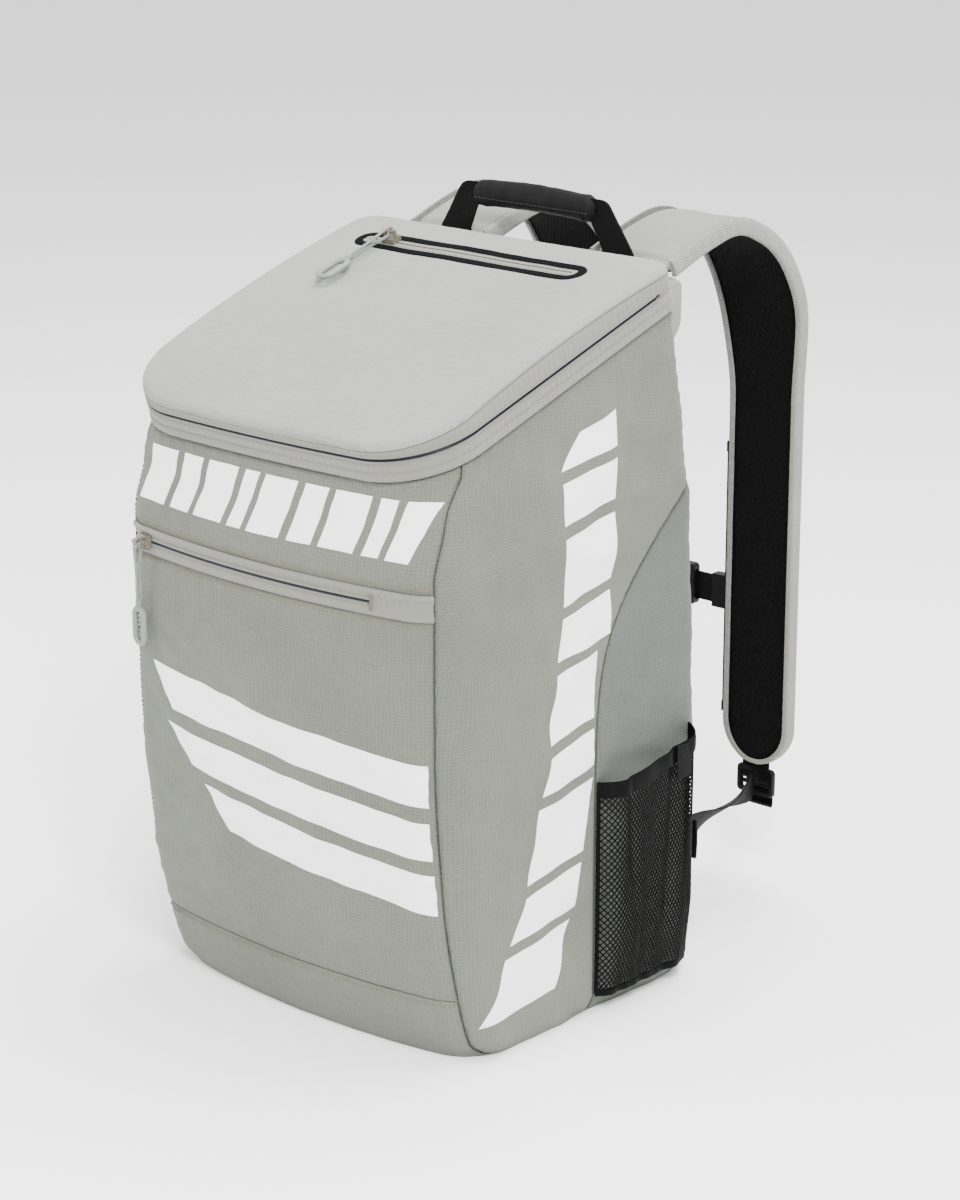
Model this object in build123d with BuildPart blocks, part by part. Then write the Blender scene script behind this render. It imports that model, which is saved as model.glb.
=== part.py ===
from build123d import *
import math
import os

# Racket backpack, in millimetres. Origin: centre of the base panel's underside.
# -Y is the front panel, +Y the harness side, +X the bag's right in a front view, +Z is up.

# --- driving dimensions: body -------------------------------------------------
BODY_WIDTH = 300.0
BODY_DEPTH = 268.0          # front corner to back wall at mid height
FRONT_CORNER_Y = -143.0     # virtual front corner at mid height
FRONT_BOW = 17.0            # bulge of the front panel between its corners
WALL = 4.0                  # padded fabric wall
FLOOR = 4.0
SEAM_INSET = 10.0           # front corner seams, in from the side panels
FRONT_CORNER_R = 26.0
REAR_CORNER_R = 16.0
SIDE_SEAM_Y = 12.0          # where the rear side panel meets the front gusset
SIDE_SEAM_Z = 284.0         # height where that seam turns back towards the straps
SIDE_SEAM_R = 75.0
SIDE_SEAM_SLOPE = 0.82

# --- mouth and lid ------------------------------------------------------------
LID_ANGLE = 18.0
LID_CENTRE_Y = -24.0
LID_CENTRE_Z = 462.6
LID_WIDTH = 286.0
LID_LENGTH = 268.0
LID_FRONT_R = 57.0
LID_REAR_R = 16.0
LID_BOW = 5.0
BAND_HEIGHT = 16.0          # rim band under the main zip
BAND_STEP = 2.0             # the band stands proud of the body by this much
LID_FRONT_HEIGHT = 9.0      # lid's top arc above the zip, past its front edge
LID_CROWN_HEIGHT = 21.0     # at its crown
LID_CROWN_V = 20.0
LID_REAR_HEIGHT = 12.5      # past its hinge edge
LID_OVERRUN = 20.0          # how far past the edges those two heights are taken
LID_FOAM = 5.0
CHAIN_HALF = 1.4            # half of the closed zip chain, along the lid's normal
CHAIN_DEPTH = 3.0
CHAIN_SETBACK = 0.8
CHAIN_GAP = 0.15            # each half stands this far off the parting plane
CHAIN_END = 22.0            # the chain stops this far before the hinge edge
LID_POCKET_V = 92.0         # lid pocket's slot, towards the hinge
LID_POCKET_LENGTH = 212.0
LID_POCKET_HEIGHT = 24.0
LID_POCKET_X = -8.0
LID_BORDER = 0.8            # welded border's thickness
LID_CHAIN_LENGTH = 192.0
LID_CHAIN_HEIGHT = 6.0
LID_CHAIN_RISE = 0.5

# --- front pocket -------------------------------------------------------------
POCKET_ZIP_Z = 327.0
POCKET_TAPE = 18.0
POCKET_CHAIN = 4.0
CHAIN_START_X = -126.0
CHAIN_STOP_X = 96.0
BASE_SEAM_Z = 48.0
POCKET_GAP = 2.5            # slack of the flat front pocket
BACKING = 1.6
BACKING_INSET = 8.0

# --- inside and back ----------------------------------------------------------
BOARD = 2.0
BOARD_DEPTH = 170.0
BOARD_CORNER_R = 20.0
BOARD_GAP = 12.0
SLEEVE_GAP = 26.0
DIVIDER = 4.0
DIVIDER_TOP_Z = 430.0
FRAME_SHEET = 1.6
PAD_THICKNESS = 11.0
PAD_BOTTOM_Z = 150.0
PAD_TOP_Z = 440.0
PAD_INNER_X = 18.0
PAD_OUTER_X = 122.0
LUMBAR_THICKNESS = 13.0
LUMBAR_BOTTOM_Z = 22.0
LUMBAR_TOP_Z = 138.0
LUMBAR_HALF = 124.0
YOKE_BOTTOM_Z = 450.0
YOKE_TOP_Z = 500.7
YOKE_HALF = 128.0
YOKE_BACK_Y = 126.0

# --- bottle pockets -----------------------------------------------------------
BOTTLE_BULGE = 16.0
NET = 1.6
BOTTLE_FRONT_Y = 14.0
BOTTLE_BACK_Y = 110.0
BOTTLE_BOTTOM_Z = 16.0
BOTTLE_LIP_Z = 172.0        # lip height at its front end
BOTTLE_LIP_RISE = 18.0      # how much higher the lip is at the back
BINDING_HEIGHT = 12.0
TAB = (16.0, 1.4, 26.0)

# --- harness ------------------------------------------------------------------
STRAP_CENTRE_X = 85.0
STRAP_WIDTH = 60.0
SHOULDER_WIDTH = 75.0
SHOULDER_Z = 470.0          # the strap narrows below this height
NARROW_Z = 380.0
STRAP_TIP_Z = 100.0
STRAP_PAD = 8.0
STRAP_MESH = 4.0
STRAP_BINDING = 4.0
STRAP_ROOT_Y = 124.0
STRAP_LINE = [              # seam between pad and mesh, root to tip: (y, z)
    (STRAP_ROOT_Y, 505.0),
    (160.0, 518.0),
    (199.0, 527.0),
    (246.0, 505.5),
    (274.5, 461.0),
    (282.0, 400.0),
    (282.0, STRAP_TIP_Z - 10.0),
]
WEBBING = 25.0
WEBBING_THICKNESS = 1.6
LOCK = (34.0, 4.6, 22.0)    # ladder lock frame
LOCK_Z = 84.0
LOCK_SLOT = 3.2
LOCK_BAR = 4.0
LOCK_CORNER_R = 2.0
ANCHOR = (20.0, 2.4, 30.0)
ANCHOR_X = 138.0
ANCHOR_Z = 96.0
TAIL_LENGTH = 46.0

# --- sternum strap ------------------------------------------------------------
STERNUM_Z = 227.0
STERNUM_Y = 284.0
RAIL_R = 1.5
RAIL_BORE_R = 1.8
RAIL_X = 51.0
RAIL_BOTTOM_Z = 140.0
RAIL_TOP_Z = 336.0
RAIL_FOOT = 8.0
GUIDE = (14.5, 8.0, 26.0)
BUCKLE_HEIGHT = 32.0
BUCKLE_THICKNESS = 9.0
FEMALE_X = (-36.0, -4.0)
MOUTH_DEPTH = 20.0
MOUTH_HEIGHT = 21.0
MOUTH_THICKNESS = 4.6
MALE_X = (-3.5, 22.5)
MALE_BAR = 6.0              # its solid end between the prongs and the webbing slot
BUCKLE_TRAVEL = 17.0        # how far it pulls out, past its webbing's fixed end
PRONG_REACH = 16.5
PRONG_GAP = 0.5
WEBBING_SLOT = 2.8
STERNUM_WEBBING = 22.0
SLOT_MARGIN = 1.0           # room over and under the webbing
BUCKLE_CORNER_R = 4.0
PLUG_STEP = 1.0             # the plug is thinner than the socket by this on each face
PRONG_ROOT = 1.0            # how deep the prongs are set in the plug

# --- handle -------------------------------------------------------------------
HANDLE_Y = 120.0
HANDLE_PIVOT_Z = 513.5
HANDLE_TOP_Z = 551.0
HANDLE_SPAN = 150.0         # between the centres of its legs
HANDLE_WEBBING = 28.0
HANDLE_THICKNESS = 2.6
GRIP_LENGTH = 112.0
GRIP_HEIGHT = 19.0
GRIP_THICKNESS = 13.0
WRAP = 1.0                  # the grip's wrap over the webbing folded inside it

# --- zip sliders and pulls ----------------------------------------------------
SLIDER = (11.0, 9.0, 3.6)   # along the zip, across it, off the tape
PIVOT_OFF = 8.2             # pull's pivot above the tape
MAIN_PIVOT_OFF = 9.8        # the main zip's pulls hang clear of the body's bulge
BAR_R = 1.2
EAR = 1.8
PULL_CORD_D = 2.2
PULL_CORD = [               # in the pull's own frame: (down the panel, off the panel)
    (-44.9, -1.3),
    (-34.0, -1.6),
    (-23.5, -1.3),
    (-13.0, -2.0),
    (-4.5, -2.7),
    (2.7, -2.3),
    (2.7, 2.3),
    (-4.5, 2.7),
    (-13.0, 2.0),
    (-23.5, 1.3),
    (-34.0, 1.6),
    (-44.9, 1.3),
]
GRIP_RING = (30.0, 16.0)
GRIP_TUBE = 4.8
RING_ROUND = 1.6
FRONT_SLIDER_X = -117.0
LID_SLIDER_X = -80.0
MAIN_SLIDER_V = (24.0, 50.0)

RUNNING_GAP = 0.3           # between pieces that move past each other
REACH = 400.0               # longer than any part of the bag, for cutting zones

# --- worked out ---------------------------------------------------------------
HALF_WIDTH = BODY_WIDTH / 2
BACK_Y = FRONT_CORNER_Y + BODY_DEPTH
SEAM_X = HALF_WIDTH - SEAM_INSET
LID_HALF = LID_WIDTH / 2
LID_V = LID_LENGTH / 2
LID_FOOT = CHAIN_GAP + CHAIN_HALF
BOW_R = (HALF_WIDTH**2 + FRONT_BOW**2) / (2 * FRONT_BOW)
BOW_CENTRE_Y = FRONT_CORNER_Y - FRONT_BOW + BOW_R
POCKET_TOP_Z = POCKET_ZIP_Z + POCKET_TAPE / 2
POCKET_LOW_Z = POCKET_ZIP_Z - POCKET_TAPE / 2

# Stations up the body: height, then how far the front corner, the back wall and
# each side stand in from their mid-height places. The pocket zip's are alike.
STATIONS = [
    (0.0, 42.0, 6.0, 7.0),
    (14.0, 33.0, 3.0, 0.0),
    (BASE_SEAM_Z, 22.0, 0.0, 0.0),
    (120.0, 8.0, -2.0, 0.0),
    (230.0, 0.0, 0.0, 0.0),
    (POCKET_LOW_Z - 15.0, 0.0, 4.0, 0.0),
    (POCKET_TOP_Z + 7.0, 0.0, 6.0, 0.0),
    (378.0, 8.0, 8.0, 2.0),
]

mouth = Plane(
    origin=(0, LID_CENTRE_Y, LID_CENTRE_Z),
    x_dir=(1, 0, 0),
    z_dir=(0, -math.sin(math.radians(LID_ANGLE)), math.cos(math.radians(LID_ANGLE))),
)

os.makedirs("parts", exist_ok=True)


def keep(builder, label):
    """Label a finished sub-part and write its STEP file."""
    builder.part.label = label
    export_step(builder.part, f"parts/{label}.step")


def at_mouth(x, v, w):
    """Row position of a point across, along and above the mouth plane."""
    return mouth.from_local_coords(Vector(x, v, w))


def zone(low, high, mode=Mode.INTERSECT):
    """Cut with a box given by two opposite corners."""
    middle = [(a + b) / 2 for a, b in zip(low, high)]
    size = [b - a for a, b in zip(low, high)]
    with Locations(tuple(middle)):
        Box(*size, mode=mode)


def outline(plane, front, back, half, front_r, rear_r, bow):
    """A station's outline: straight sides and back, and a front that bows out."""
    with BuildSketch(plane) as station:
        with BuildLine():
            Polyline((-half, front), (-half, back), (half, back), (half, front))
            ThreePointArc((half, front), (0, front - bow), (-half, front))
        make_face()
        fillet(station.vertices().sort_by(Axis.Y)[:2], radius=front_r)
        fillet(station.vertices().sort_by(Axis.Y)[-2:], radius=rear_r)
    return station.sketch


def lid_outline(height, inset):
    """The lid's outline on a plane at a height above the mouth."""
    return outline(
        mouth.offset(height),
        -LID_V + inset,
        LID_V - inset,
        LID_HALF - inset,
        LID_FRONT_R - inset,
        max(LID_REAR_R - inset, 2.0),
        LID_BOW,
    )


def body_block(inset, bottom_z):
    """The body's solid shape, drawn in by inset from its outer faces."""
    with BuildPart() as block:
        for z, front_in, back_in, side_in in STATIONS:
            add(outline(
                Plane.XY.offset(max(z, bottom_z)),
                FRONT_CORNER_Y + front_in + inset,
                BACK_Y - back_in - inset,
                HALF_WIDTH - side_in - inset,
                FRONT_CORNER_R - inset,
                max(REAR_CORNER_R - inset, 2.0),
                FRONT_BOW,
            ))
        add(lid_outline(-BAND_HEIGHT, BAND_STEP + inset))
        loft(ruled=True)
    return block.part


def crown_points(depth):
    """Three points of the lid's top arc in the mouth's frame, at a depth under it."""
    return [
        (-LID_V - LID_OVERRUN, LID_FRONT_HEIGHT - depth),
        (LID_CROWN_V, LID_CROWN_HEIGHT - depth),
        (LID_V + LID_OVERRUN, LID_REAR_HEIGHT - depth),
    ]


def lid_layer(low, high):
    """A layer of the lid between two depths under its crowned top surface."""
    with BuildPart() as layer:
        add(lid_outline(0, 0))
        extrude(amount=LID_CROWN_HEIGHT * 2, dir=mouth.z_dir)
        with BuildSketch(Plane.YZ.offset(-REACH)) as side:
            with BuildLine():
                edges = []
                for depth in (high, low):
                    edges.append([at_mouth(0, v, w) for v, w in crown_points(depth)])
                upper, lower = [[(p.Y, p.Z) for p in edge] for edge in edges]
                ThreePointArc(*upper)
                ThreePointArc(*lower)
                Line(upper[0], lower[0])
                Line(upper[2], lower[2])
            make_face()
        extrude(amount=2 * REACH, mode=Mode.INTERSECT)
    return layer.part


def wall_y(z):
    """The back wall's outer face at a height."""
    top = at_mouth(0, LID_V - BAND_STEP, -BAND_HEIGHT)
    heights = [s[0] for s in STATIONS] + [top.Z]
    places = [BACK_Y - s[2] for s in STATIONS] + [top.Y]
    for z0, z1, y0, y1 in zip(heights, heights[1:], places, places[1:]):
        if z <= z1:
            return y0 + (y1 - y0) * (z - z0) / (z1 - z0)
    return places[-1]


def wall_line(bottom_z, top_z, off):
    """Points up the back wall, off it by a distance."""
    heights = [bottom_z] + [s[0] for s in STATIONS if bottom_z < s[0] < top_z] + [top_z]
    return [(wall_y(z) + off, z) for z in heights]


def wall_layer(bottom_z, top_z, near, far, x_low, x_high):
    """A layer that follows the back wall, between two distances off its face."""
    with BuildPart() as layer:
        with BuildSketch(Plane.YZ.offset(x_low)):
            with BuildLine():
                Polyline(
                    *wall_line(bottom_z, top_z, near),
                    *reversed(wall_line(bottom_z, top_z, far)),
                    close=True,
                )
            make_face()
        extrude(amount=x_high - x_low)
    return layer.part


# --- body panels --------------------------------------------------------------
outer_block = body_block(0, 0)
inner_block = body_block(WALL, FLOOR)

with BuildPart() as skin:
    add(outer_block)
    add(inner_block, mode=Mode.SUBTRACT)

with BuildPart() as base_panel:
    add(skin.part)
    zone((-SEAM_X, -REACH, -1), (SEAM_X, REACH, BASE_SEAM_Z))
    zone((-REACH, 0, FLOOR), (REACH, REACH, BASE_SEAM_Z + 1), Mode.SUBTRACT)
keep(base_panel, "base_panel")

with BuildPart() as base_board:
    with Locations((0, 0, FLOOR + BOARD / 2)):
        Box(2 * (SEAM_X - BOARD_GAP), BOARD_DEPTH, BOARD)
    fillet(base_board.edges().filter_by(Axis.Z), radius=BOARD_CORNER_R)
keep(base_board, "base_board")

with BuildPart() as front_pocket_panel:
    add(skin.part)
    zone((-SEAM_X, -REACH, BASE_SEAM_Z), (SEAM_X, 0, POCKET_LOW_Z))
keep(front_pocket_panel, "front_pocket_panel")

with BuildPart() as front_upper_panel:
    add(skin.part)
    zone((-SEAM_X, -REACH, POCKET_TOP_Z), (SEAM_X, 0, 2 * REACH))
keep(front_upper_panel, "front_upper_panel")

with BuildPart() as front_zip_tape:
    add(skin.part)
    zone((-SEAM_X, -REACH, POCKET_LOW_Z), (SEAM_X, 0, POCKET_TOP_Z))
    zone(
        (CHAIN_START_X, -REACH, POCKET_ZIP_Z - POCKET_CHAIN / 2),
        (CHAIN_STOP_X, 0, POCKET_ZIP_Z + POCKET_CHAIN / 2),
        Mode.SUBTRACT,
    )
keep(front_zip_tape, "front_zip_tape")

with BuildPart() as front_zip_chain:
    add(skin.part)
    zone(
        (CHAIN_START_X, -REACH, POCKET_ZIP_Z - POCKET_CHAIN / 2),
        (CHAIN_STOP_X, 0, POCKET_ZIP_Z + POCKET_CHAIN / 2),
    )
keep(front_zip_chain, "front_zip_chain")

with BuildPart() as front_pocket_backing:
    add(body_block(WALL + POCKET_GAP, FLOOR))
    add(body_block(WALL + POCKET_GAP + BACKING, FLOOR), mode=Mode.SUBTRACT)
    zone(
        (-SEAM_X + BACKING_INSET, -REACH, FLOOR),
        (SEAM_X - BACKING_INSET, 0, POCKET_TOP_Z + BACKING_INSET),
    )
keep(front_pocket_backing, "front_pocket_backing")

with BuildPart() as rear_side_zone:
    with BuildSketch(Plane.YZ.offset(-REACH)):
        with BuildLine():
            seam_end = (REACH, SIDE_SEAM_Z + (REACH - SIDE_SEAM_Y) * SIDE_SEAM_SLOPE)
            FilletPolyline(
                (SIDE_SEAM_Y, -1), (SIDE_SEAM_Y, SIDE_SEAM_Z), seam_end, radius=SIDE_SEAM_R
            )
            Polyline(seam_end, (REACH, -1), (SIDE_SEAM_Y, -1))
        make_face()
    extrude(amount=2 * REACH)

for side, low_x, high_x in (("right", SEAM_X, REACH), ("left", -REACH, -SEAM_X)):
    with BuildPart() as front_gusset:
        add(skin.part)
        zone((low_x, -REACH, -1), (high_x, REACH, 2 * REACH))
        add(rear_side_zone.part, mode=Mode.SUBTRACT)
    keep(front_gusset, f"{side}_front_gusset")

    with BuildPart() as rear_side_panel:
        add(skin.part)
        zone((low_x, -REACH, -1), (high_x, REACH, 2 * REACH))
        add(rear_side_zone.part, mode=Mode.INTERSECT)
    keep(rear_side_panel, f"{side}_rear_side_panel")

with BuildPart() as back_panel:
    add(skin.part)
    zone((-SEAM_X, 0, FLOOR), (SEAM_X, REACH, 2 * REACH))
keep(back_panel, "back_panel")

# --- inside the body ----------------------------------------------------------
with BuildPart() as frame_sheet:
    add(wall_layer(
        BASE_SEAM_Z, YOKE_BOTTOM_Z, -WALL - FRAME_SHEET, -WALL, -PAD_OUTER_X, PAD_OUTER_X
    ))
keep(frame_sheet, "frame_sheet")

with BuildPart() as sleeve_divider:
    far = -WALL - SLEEVE_GAP
    add(wall_layer(FLOOR, DIVIDER_TOP_Z, far - DIVIDER, far, -SEAM_X, SEAM_X))
    add(inner_block, mode=Mode.INTERSECT)
    with Locations((0, 0, FLOOR + BOARD / 2)):
        Box(
            2 * (SEAM_X - BOARD_GAP), BOARD_DEPTH + 2 * RUNNING_GAP, BOARD, mode=Mode.SUBTRACT
        )
keep(sleeve_divider, "sleeve_divider")

# --- back padding and yoke ----------------------------------------------------
with BuildPart() as back_pads:
    for low_x, high_x in ((PAD_INNER_X, PAD_OUTER_X), (-PAD_OUTER_X, -PAD_INNER_X)):
        add(wall_layer(PAD_BOTTOM_Z, PAD_TOP_Z, 0, PAD_THICKNESS, low_x, high_x))
keep(back_pads, "back_pads")

with BuildPart() as lumbar_pad:
    add(wall_layer(
        LUMBAR_BOTTOM_Z, LUMBAR_TOP_Z, 0, LUMBAR_THICKNESS, -LUMBAR_HALF, LUMBAR_HALF
    ))
keep(lumbar_pad, "lumbar_pad")

band_foot = at_mouth(0, LID_V, -BAND_HEIGHT)
band_head = at_mouth(0, LID_V, -LID_FOOT)
band_lean = (band_head.Y - band_foot.Y) / (band_head.Z - band_foot.Z)
with BuildPart() as back_yoke:
    with BuildSketch(Plane.YZ.offset(-YOKE_HALF)):
        with BuildLine():
            Polyline(
                (wall_y(YOKE_BOTTOM_Z), YOKE_BOTTOM_Z),
                (wall_y(REACH * 2), at_mouth(0, LID_V - BAND_STEP, -BAND_HEIGHT).Z),
                (band_foot.Y, band_foot.Z),
                (band_foot.Y + band_lean * (YOKE_TOP_Z - band_foot.Z), YOKE_TOP_Z),
                (YOKE_BACK_Y, YOKE_TOP_Z),
                (YOKE_BACK_Y, YOKE_BOTTOM_Z + (YOKE_BACK_Y - wall_y(YOKE_BOTTOM_Z))),
                close=True,
            )
        make_face()
    extrude(amount=2 * YOKE_HALF)
keep(back_yoke, "back_yoke")

# --- mouth band, zip chain and hinge strip ------------------------------------
with BuildPart() as mouth_band:
    add(lid_outline(-BAND_HEIGHT, 0))
    extrude(amount=BAND_HEIGHT - LID_FOOT, dir=mouth.z_dir)
    add(lid_outline(-BAND_HEIGHT, WALL + BAND_STEP))
    extrude(amount=BAND_HEIGHT - LID_FOOT, dir=mouth.z_dir, mode=Mode.SUBTRACT)
keep(mouth_band, "mouth_band")

chain_stop = Plane(
    origin=at_mouth(0, LID_V - CHAIN_END, 0), x_dir=(1, 0, 0), z_dir=mouth.y_dir
)
for name, foot in (("mouth_zip_chain", -LID_FOOT), ("lid_zip_chain", CHAIN_GAP)):
    with BuildPart() as zip_chain:
        add(lid_outline(foot, CHAIN_SETBACK))
        extrude(amount=CHAIN_HALF, dir=mouth.z_dir)
        add(lid_outline(foot, CHAIN_SETBACK + CHAIN_DEPTH))
        extrude(amount=CHAIN_HALF, dir=mouth.z_dir, mode=Mode.SUBTRACT)
        split(bisect_by=chain_stop, keep=Keep.BOTTOM)
    keep(zip_chain, name)

with BuildPart() as lid_hinge_strip:
    with BuildSketch(mouth.offset(-LID_FOOT)):
        with Locations((0, LID_V - WALL / 2)):
            Rectangle(2 * (LID_HALF - LID_REAR_R), WALL)
    extrude(amount=2 * LID_FOOT - RUNNING_GAP)
keep(lid_hinge_strip, "lid_hinge_strip")

# --- lid ----------------------------------------------------------------------
with BuildPart() as lid_panel:
    add(lid_layer(LID_FOAM, 0))
keep(lid_panel, "lid_panel")

with BuildPart() as lid_rim_band:
    add(lid_layer(LID_CROWN_HEIGHT, LID_FOAM))
    add(lid_outline(0, WALL))
    extrude(amount=LID_CROWN_HEIGHT * 2, dir=mouth.z_dir, mode=Mode.SUBTRACT)
    add(lid_outline(-LID_CROWN_HEIGHT, -LID_BOW))
    extrude(amount=LID_CROWN_HEIGHT + LID_FOOT, dir=mouth.z_dir, mode=Mode.SUBTRACT)
keep(lid_rim_band, "lid_rim_band")

with BuildPart() as lid_pocket_border:
    add(lid_layer(0, -LID_BORDER))
    with BuildSketch(mouth) as border:
        with Locations((LID_POCKET_X, LID_POCKET_V)):
            SlotOverall(LID_POCKET_LENGTH, LID_POCKET_HEIGHT)
            Rectangle(LID_CHAIN_LENGTH, LID_CHAIN_HEIGHT, mode=Mode.SUBTRACT)
    extrude(amount=REACH, mode=Mode.INTERSECT)
keep(lid_pocket_border, "lid_pocket_border")

with BuildPart() as lid_pocket_chain:
    add(lid_layer(0, -LID_BORDER - LID_CHAIN_RISE))
    with BuildSketch(mouth):
        with Locations((LID_POCKET_X, LID_POCKET_V)):
            Rectangle(LID_CHAIN_LENGTH, LID_CHAIN_HEIGHT)
    extrude(amount=REACH, mode=Mode.INTERSECT)
keep(lid_pocket_chain, "lid_pocket_chain")


# --- bottle pockets -----------------------------------------------------------
def net_block(direction, bottom_z, top_z, grow):
    """The pocket's space on one side, grown outwards from the net's inner face."""
    near = direction * HALF_WIDTH
    far = direction * (HALF_WIDTH + BOTTLE_BULGE + grow)
    with BuildPart() as block:
        with BuildSketch(Plane.XY.offset(bottom_z)):
            with BuildLine():
                Polyline(
                    (near, BOTTLE_FRONT_Y - grow),
                    (far, BOTTLE_FRONT_Y - grow + BOTTLE_BULGE),
                    (far, BOTTLE_BACK_Y + grow - BOTTLE_BULGE),
                    (near, BOTTLE_BACK_Y + grow),
                    close=True,
                )
            make_face()
        extrude(amount=top_z - bottom_z)
    return block.part


def lip_plane(drop):
    """The slanted plane of the pocket's lip, or below it by a drop."""
    run = BOTTLE_BACK_Y - BOTTLE_FRONT_Y
    return Plane(
        origin=(0, BOTTLE_FRONT_Y, BOTTLE_LIP_Z - drop),
        x_dir=(1, 0, 0),
        z_dir=(0, -BOTTLE_LIP_RISE, run),
    )


net_top_z = BOTTLE_LIP_Z + 2 * BOTTLE_LIP_RISE
for side, direction in (("right", 1), ("left", -1)):
    with BuildPart() as mesh_pocket:
        add(net_block(direction, BOTTLE_BOTTOM_Z - NET, net_top_z, NET))
        add(net_block(direction, BOTTLE_BOTTOM_Z, net_top_z, 0), mode=Mode.SUBTRACT)
        split(bisect_by=lip_plane(BINDING_HEIGHT), keep=Keep.BOTTOM)
    keep(mesh_pocket, f"{side}_mesh_pocket")

    with BuildPart() as pocket_binding:
        add(net_block(direction, BOTTLE_BOTTOM_Z, net_top_z, NET))
        add(net_block(direction, BOTTLE_BOTTOM_Z, net_top_z, 0), mode=Mode.SUBTRACT)
        split(bisect_by=lip_plane(BINDING_HEIGHT), keep=Keep.TOP)
        split(bisect_by=lip_plane(0), keep=Keep.BOTTOM)
    keep(pocket_binding, f"{side}_pocket_binding")

with BuildPart() as pocket_tabs:
    tab_x = HALF_WIDTH + BOTTLE_BULGE + NET + TAB[1] / 2
    tab_y = BOTTLE_BACK_Y - BOTTLE_BULGE - TAB[0] / 2
    with Locations((tab_x, tab_y, BOTTLE_LIP_Z), (-tab_x, tab_y, BOTTLE_LIP_Z)):
        Box(TAB[1], TAB[0], TAB[2])
keep(pocket_tabs, "pocket_tabs")


# --- harness ------------------------------------------------------------------
def arc_radii(points):
    """Largest tangent arcs that leave a tenth of each shorter run straight."""
    radii = []
    for before, corner, after in zip(points, points[1:], points[2:]):
        run_in = Vector(*corner) - Vector(*before)
        run_out = Vector(*after) - Vector(*corner)
        turn = math.radians(run_in.get_angle(run_out))
        radii.append(0.45 * min(run_in.length, run_out.length) / math.tan(turn / 2))
    return radii


def strap_layer(side, thickness):
    """A layer of the strap on one side of its seam line, as wide as the shoulder."""
    with BuildPart() as layer:
        with BuildSketch(Plane.YZ.offset(STRAP_CENTRE_X - SHOULDER_WIDTH / 2)):
            with BuildLine():
                FilletPolyline(*STRAP_LINE, radius=arc_radii(STRAP_LINE))
                offset(amount=thickness, side=side)
            make_face()
        extrude(amount=SHOULDER_WIDTH)
        zone((-REACH, STRAP_ROOT_Y, 0), (REACH, REACH, 2 * REACH))
    return layer.part


def strap_plan(inset):
    """The strap's shape seen from behind: it narrows and ends in a half round."""
    wide = SHOULDER_WIDTH / 2 - inset
    narrow = STRAP_WIDTH / 2 - inset
    bend_z = STRAP_TIP_Z + STRAP_WIDTH / 2
    with BuildPart() as plan:
        with BuildSketch(Plane.XZ.offset(-REACH)):
            with BuildLine():
                Polyline(
                    (STRAP_CENTRE_X - narrow, bend_z),
                    (STRAP_CENTRE_X - narrow, NARROW_Z),
                    (STRAP_CENTRE_X - wide, SHOULDER_Z),
                    (STRAP_CENTRE_X - wide, 2 * REACH),
                    (STRAP_CENTRE_X + wide, 2 * REACH),
                    (STRAP_CENTRE_X + wide, SHOULDER_Z),
                    (STRAP_CENTRE_X + narrow, NARROW_Z),
                    (STRAP_CENTRE_X + narrow, bend_z),
                )
                ThreePointArc(
                    (STRAP_CENTRE_X + narrow, bend_z),
                    (STRAP_CENTRE_X, bend_z - narrow),
                    (STRAP_CENTRE_X - narrow, bend_z),
                )
            make_face()
        extrude(amount=2 * REACH)
    return plan.part


full_plan = strap_plan(0)
inner_plan = strap_plan(STRAP_BINDING)
with BuildPart() as right_strap_pad:
    add(strap_layer(Side.LEFT, STRAP_PAD))
    add(inner_plan, mode=Mode.INTERSECT)

with BuildPart() as right_strap_mesh:
    add(strap_layer(Side.RIGHT, STRAP_MESH))
    add(inner_plan, mode=Mode.INTERSECT)

with BuildPart() as right_strap_binding:
    add(strap_layer(Side.LEFT, STRAP_PAD))
    add(strap_layer(Side.RIGHT, STRAP_MESH))
    add(full_plan, mode=Mode.INTERSECT)
    add(inner_plan, mode=Mode.SUBTRACT)

for name, builder in (("strap_pad", right_strap_pad), ("strap_mesh", right_strap_mesh)):
    keep(builder, f"right_{name}")
    with BuildPart() as mirrored:
        add(mirror(builder.part, about=Plane.YZ, mode=Mode.PRIVATE))
    keep(mirrored, f"left_{name}")

with BuildPart() as strap_bindings:
    add(right_strap_binding.part)
    mirror(about=Plane.YZ)
keep(strap_bindings, "strap_bindings")

strap_back_y = STRAP_LINE[-1][0]
lock_y = strap_back_y
with BuildPart() as right_ladder_lock:
    with Locations((STRAP_CENTRE_X, lock_y, LOCK_Z)):
        Box(*LOCK)
        with Locations((0, 0, LOCK[2] / 2 - LOCK_BAR), (0, 0, LOCK_BAR - LOCK[2] / 2)):
            Box(WEBBING + 1, LOCK[1], LOCK_SLOT, mode=Mode.SUBTRACT)
    fillet(right_ladder_lock.edges().filter_by(Axis.Y).group_by(Axis.Z)[0], radius=LOCK_CORNER_R)
keep(right_ladder_lock, "right_ladder_lock")
with BuildPart() as left_ladder_lock:
    add(mirror(right_ladder_lock.part, about=Plane.YZ, mode=Mode.PRIVATE))
keep(left_ladder_lock, "left_ladder_lock")

# Each strap's tip holds the lock by a short tab, and the webbing's spare end hangs
# behind the lock.
with BuildPart() as webbing_tails:
    for x in (STRAP_CENTRE_X, -STRAP_CENTRE_X):
        tab_foot = LOCK_Z + LOCK[2] / 2 + RUNNING_GAP
        zone(
            (x - WEBBING / 2, lock_y - WEBBING_THICKNESS, tab_foot),
            (x + WEBBING / 2, lock_y, STRAP_TIP_Z - RUNNING_GAP),
            Mode.ADD,
        )
        tail_y = lock_y + LOCK[1] / 2 + RUNNING_GAP
        zone(
            (x - WEBBING / 2, tail_y, LOCK_Z - TAIL_LENGTH),
            (x + WEBBING / 2, tail_y + WEBBING_THICKNESS, LOCK_Z),
            Mode.ADD,
        )
keep(webbing_tails, "webbing_tails")

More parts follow.
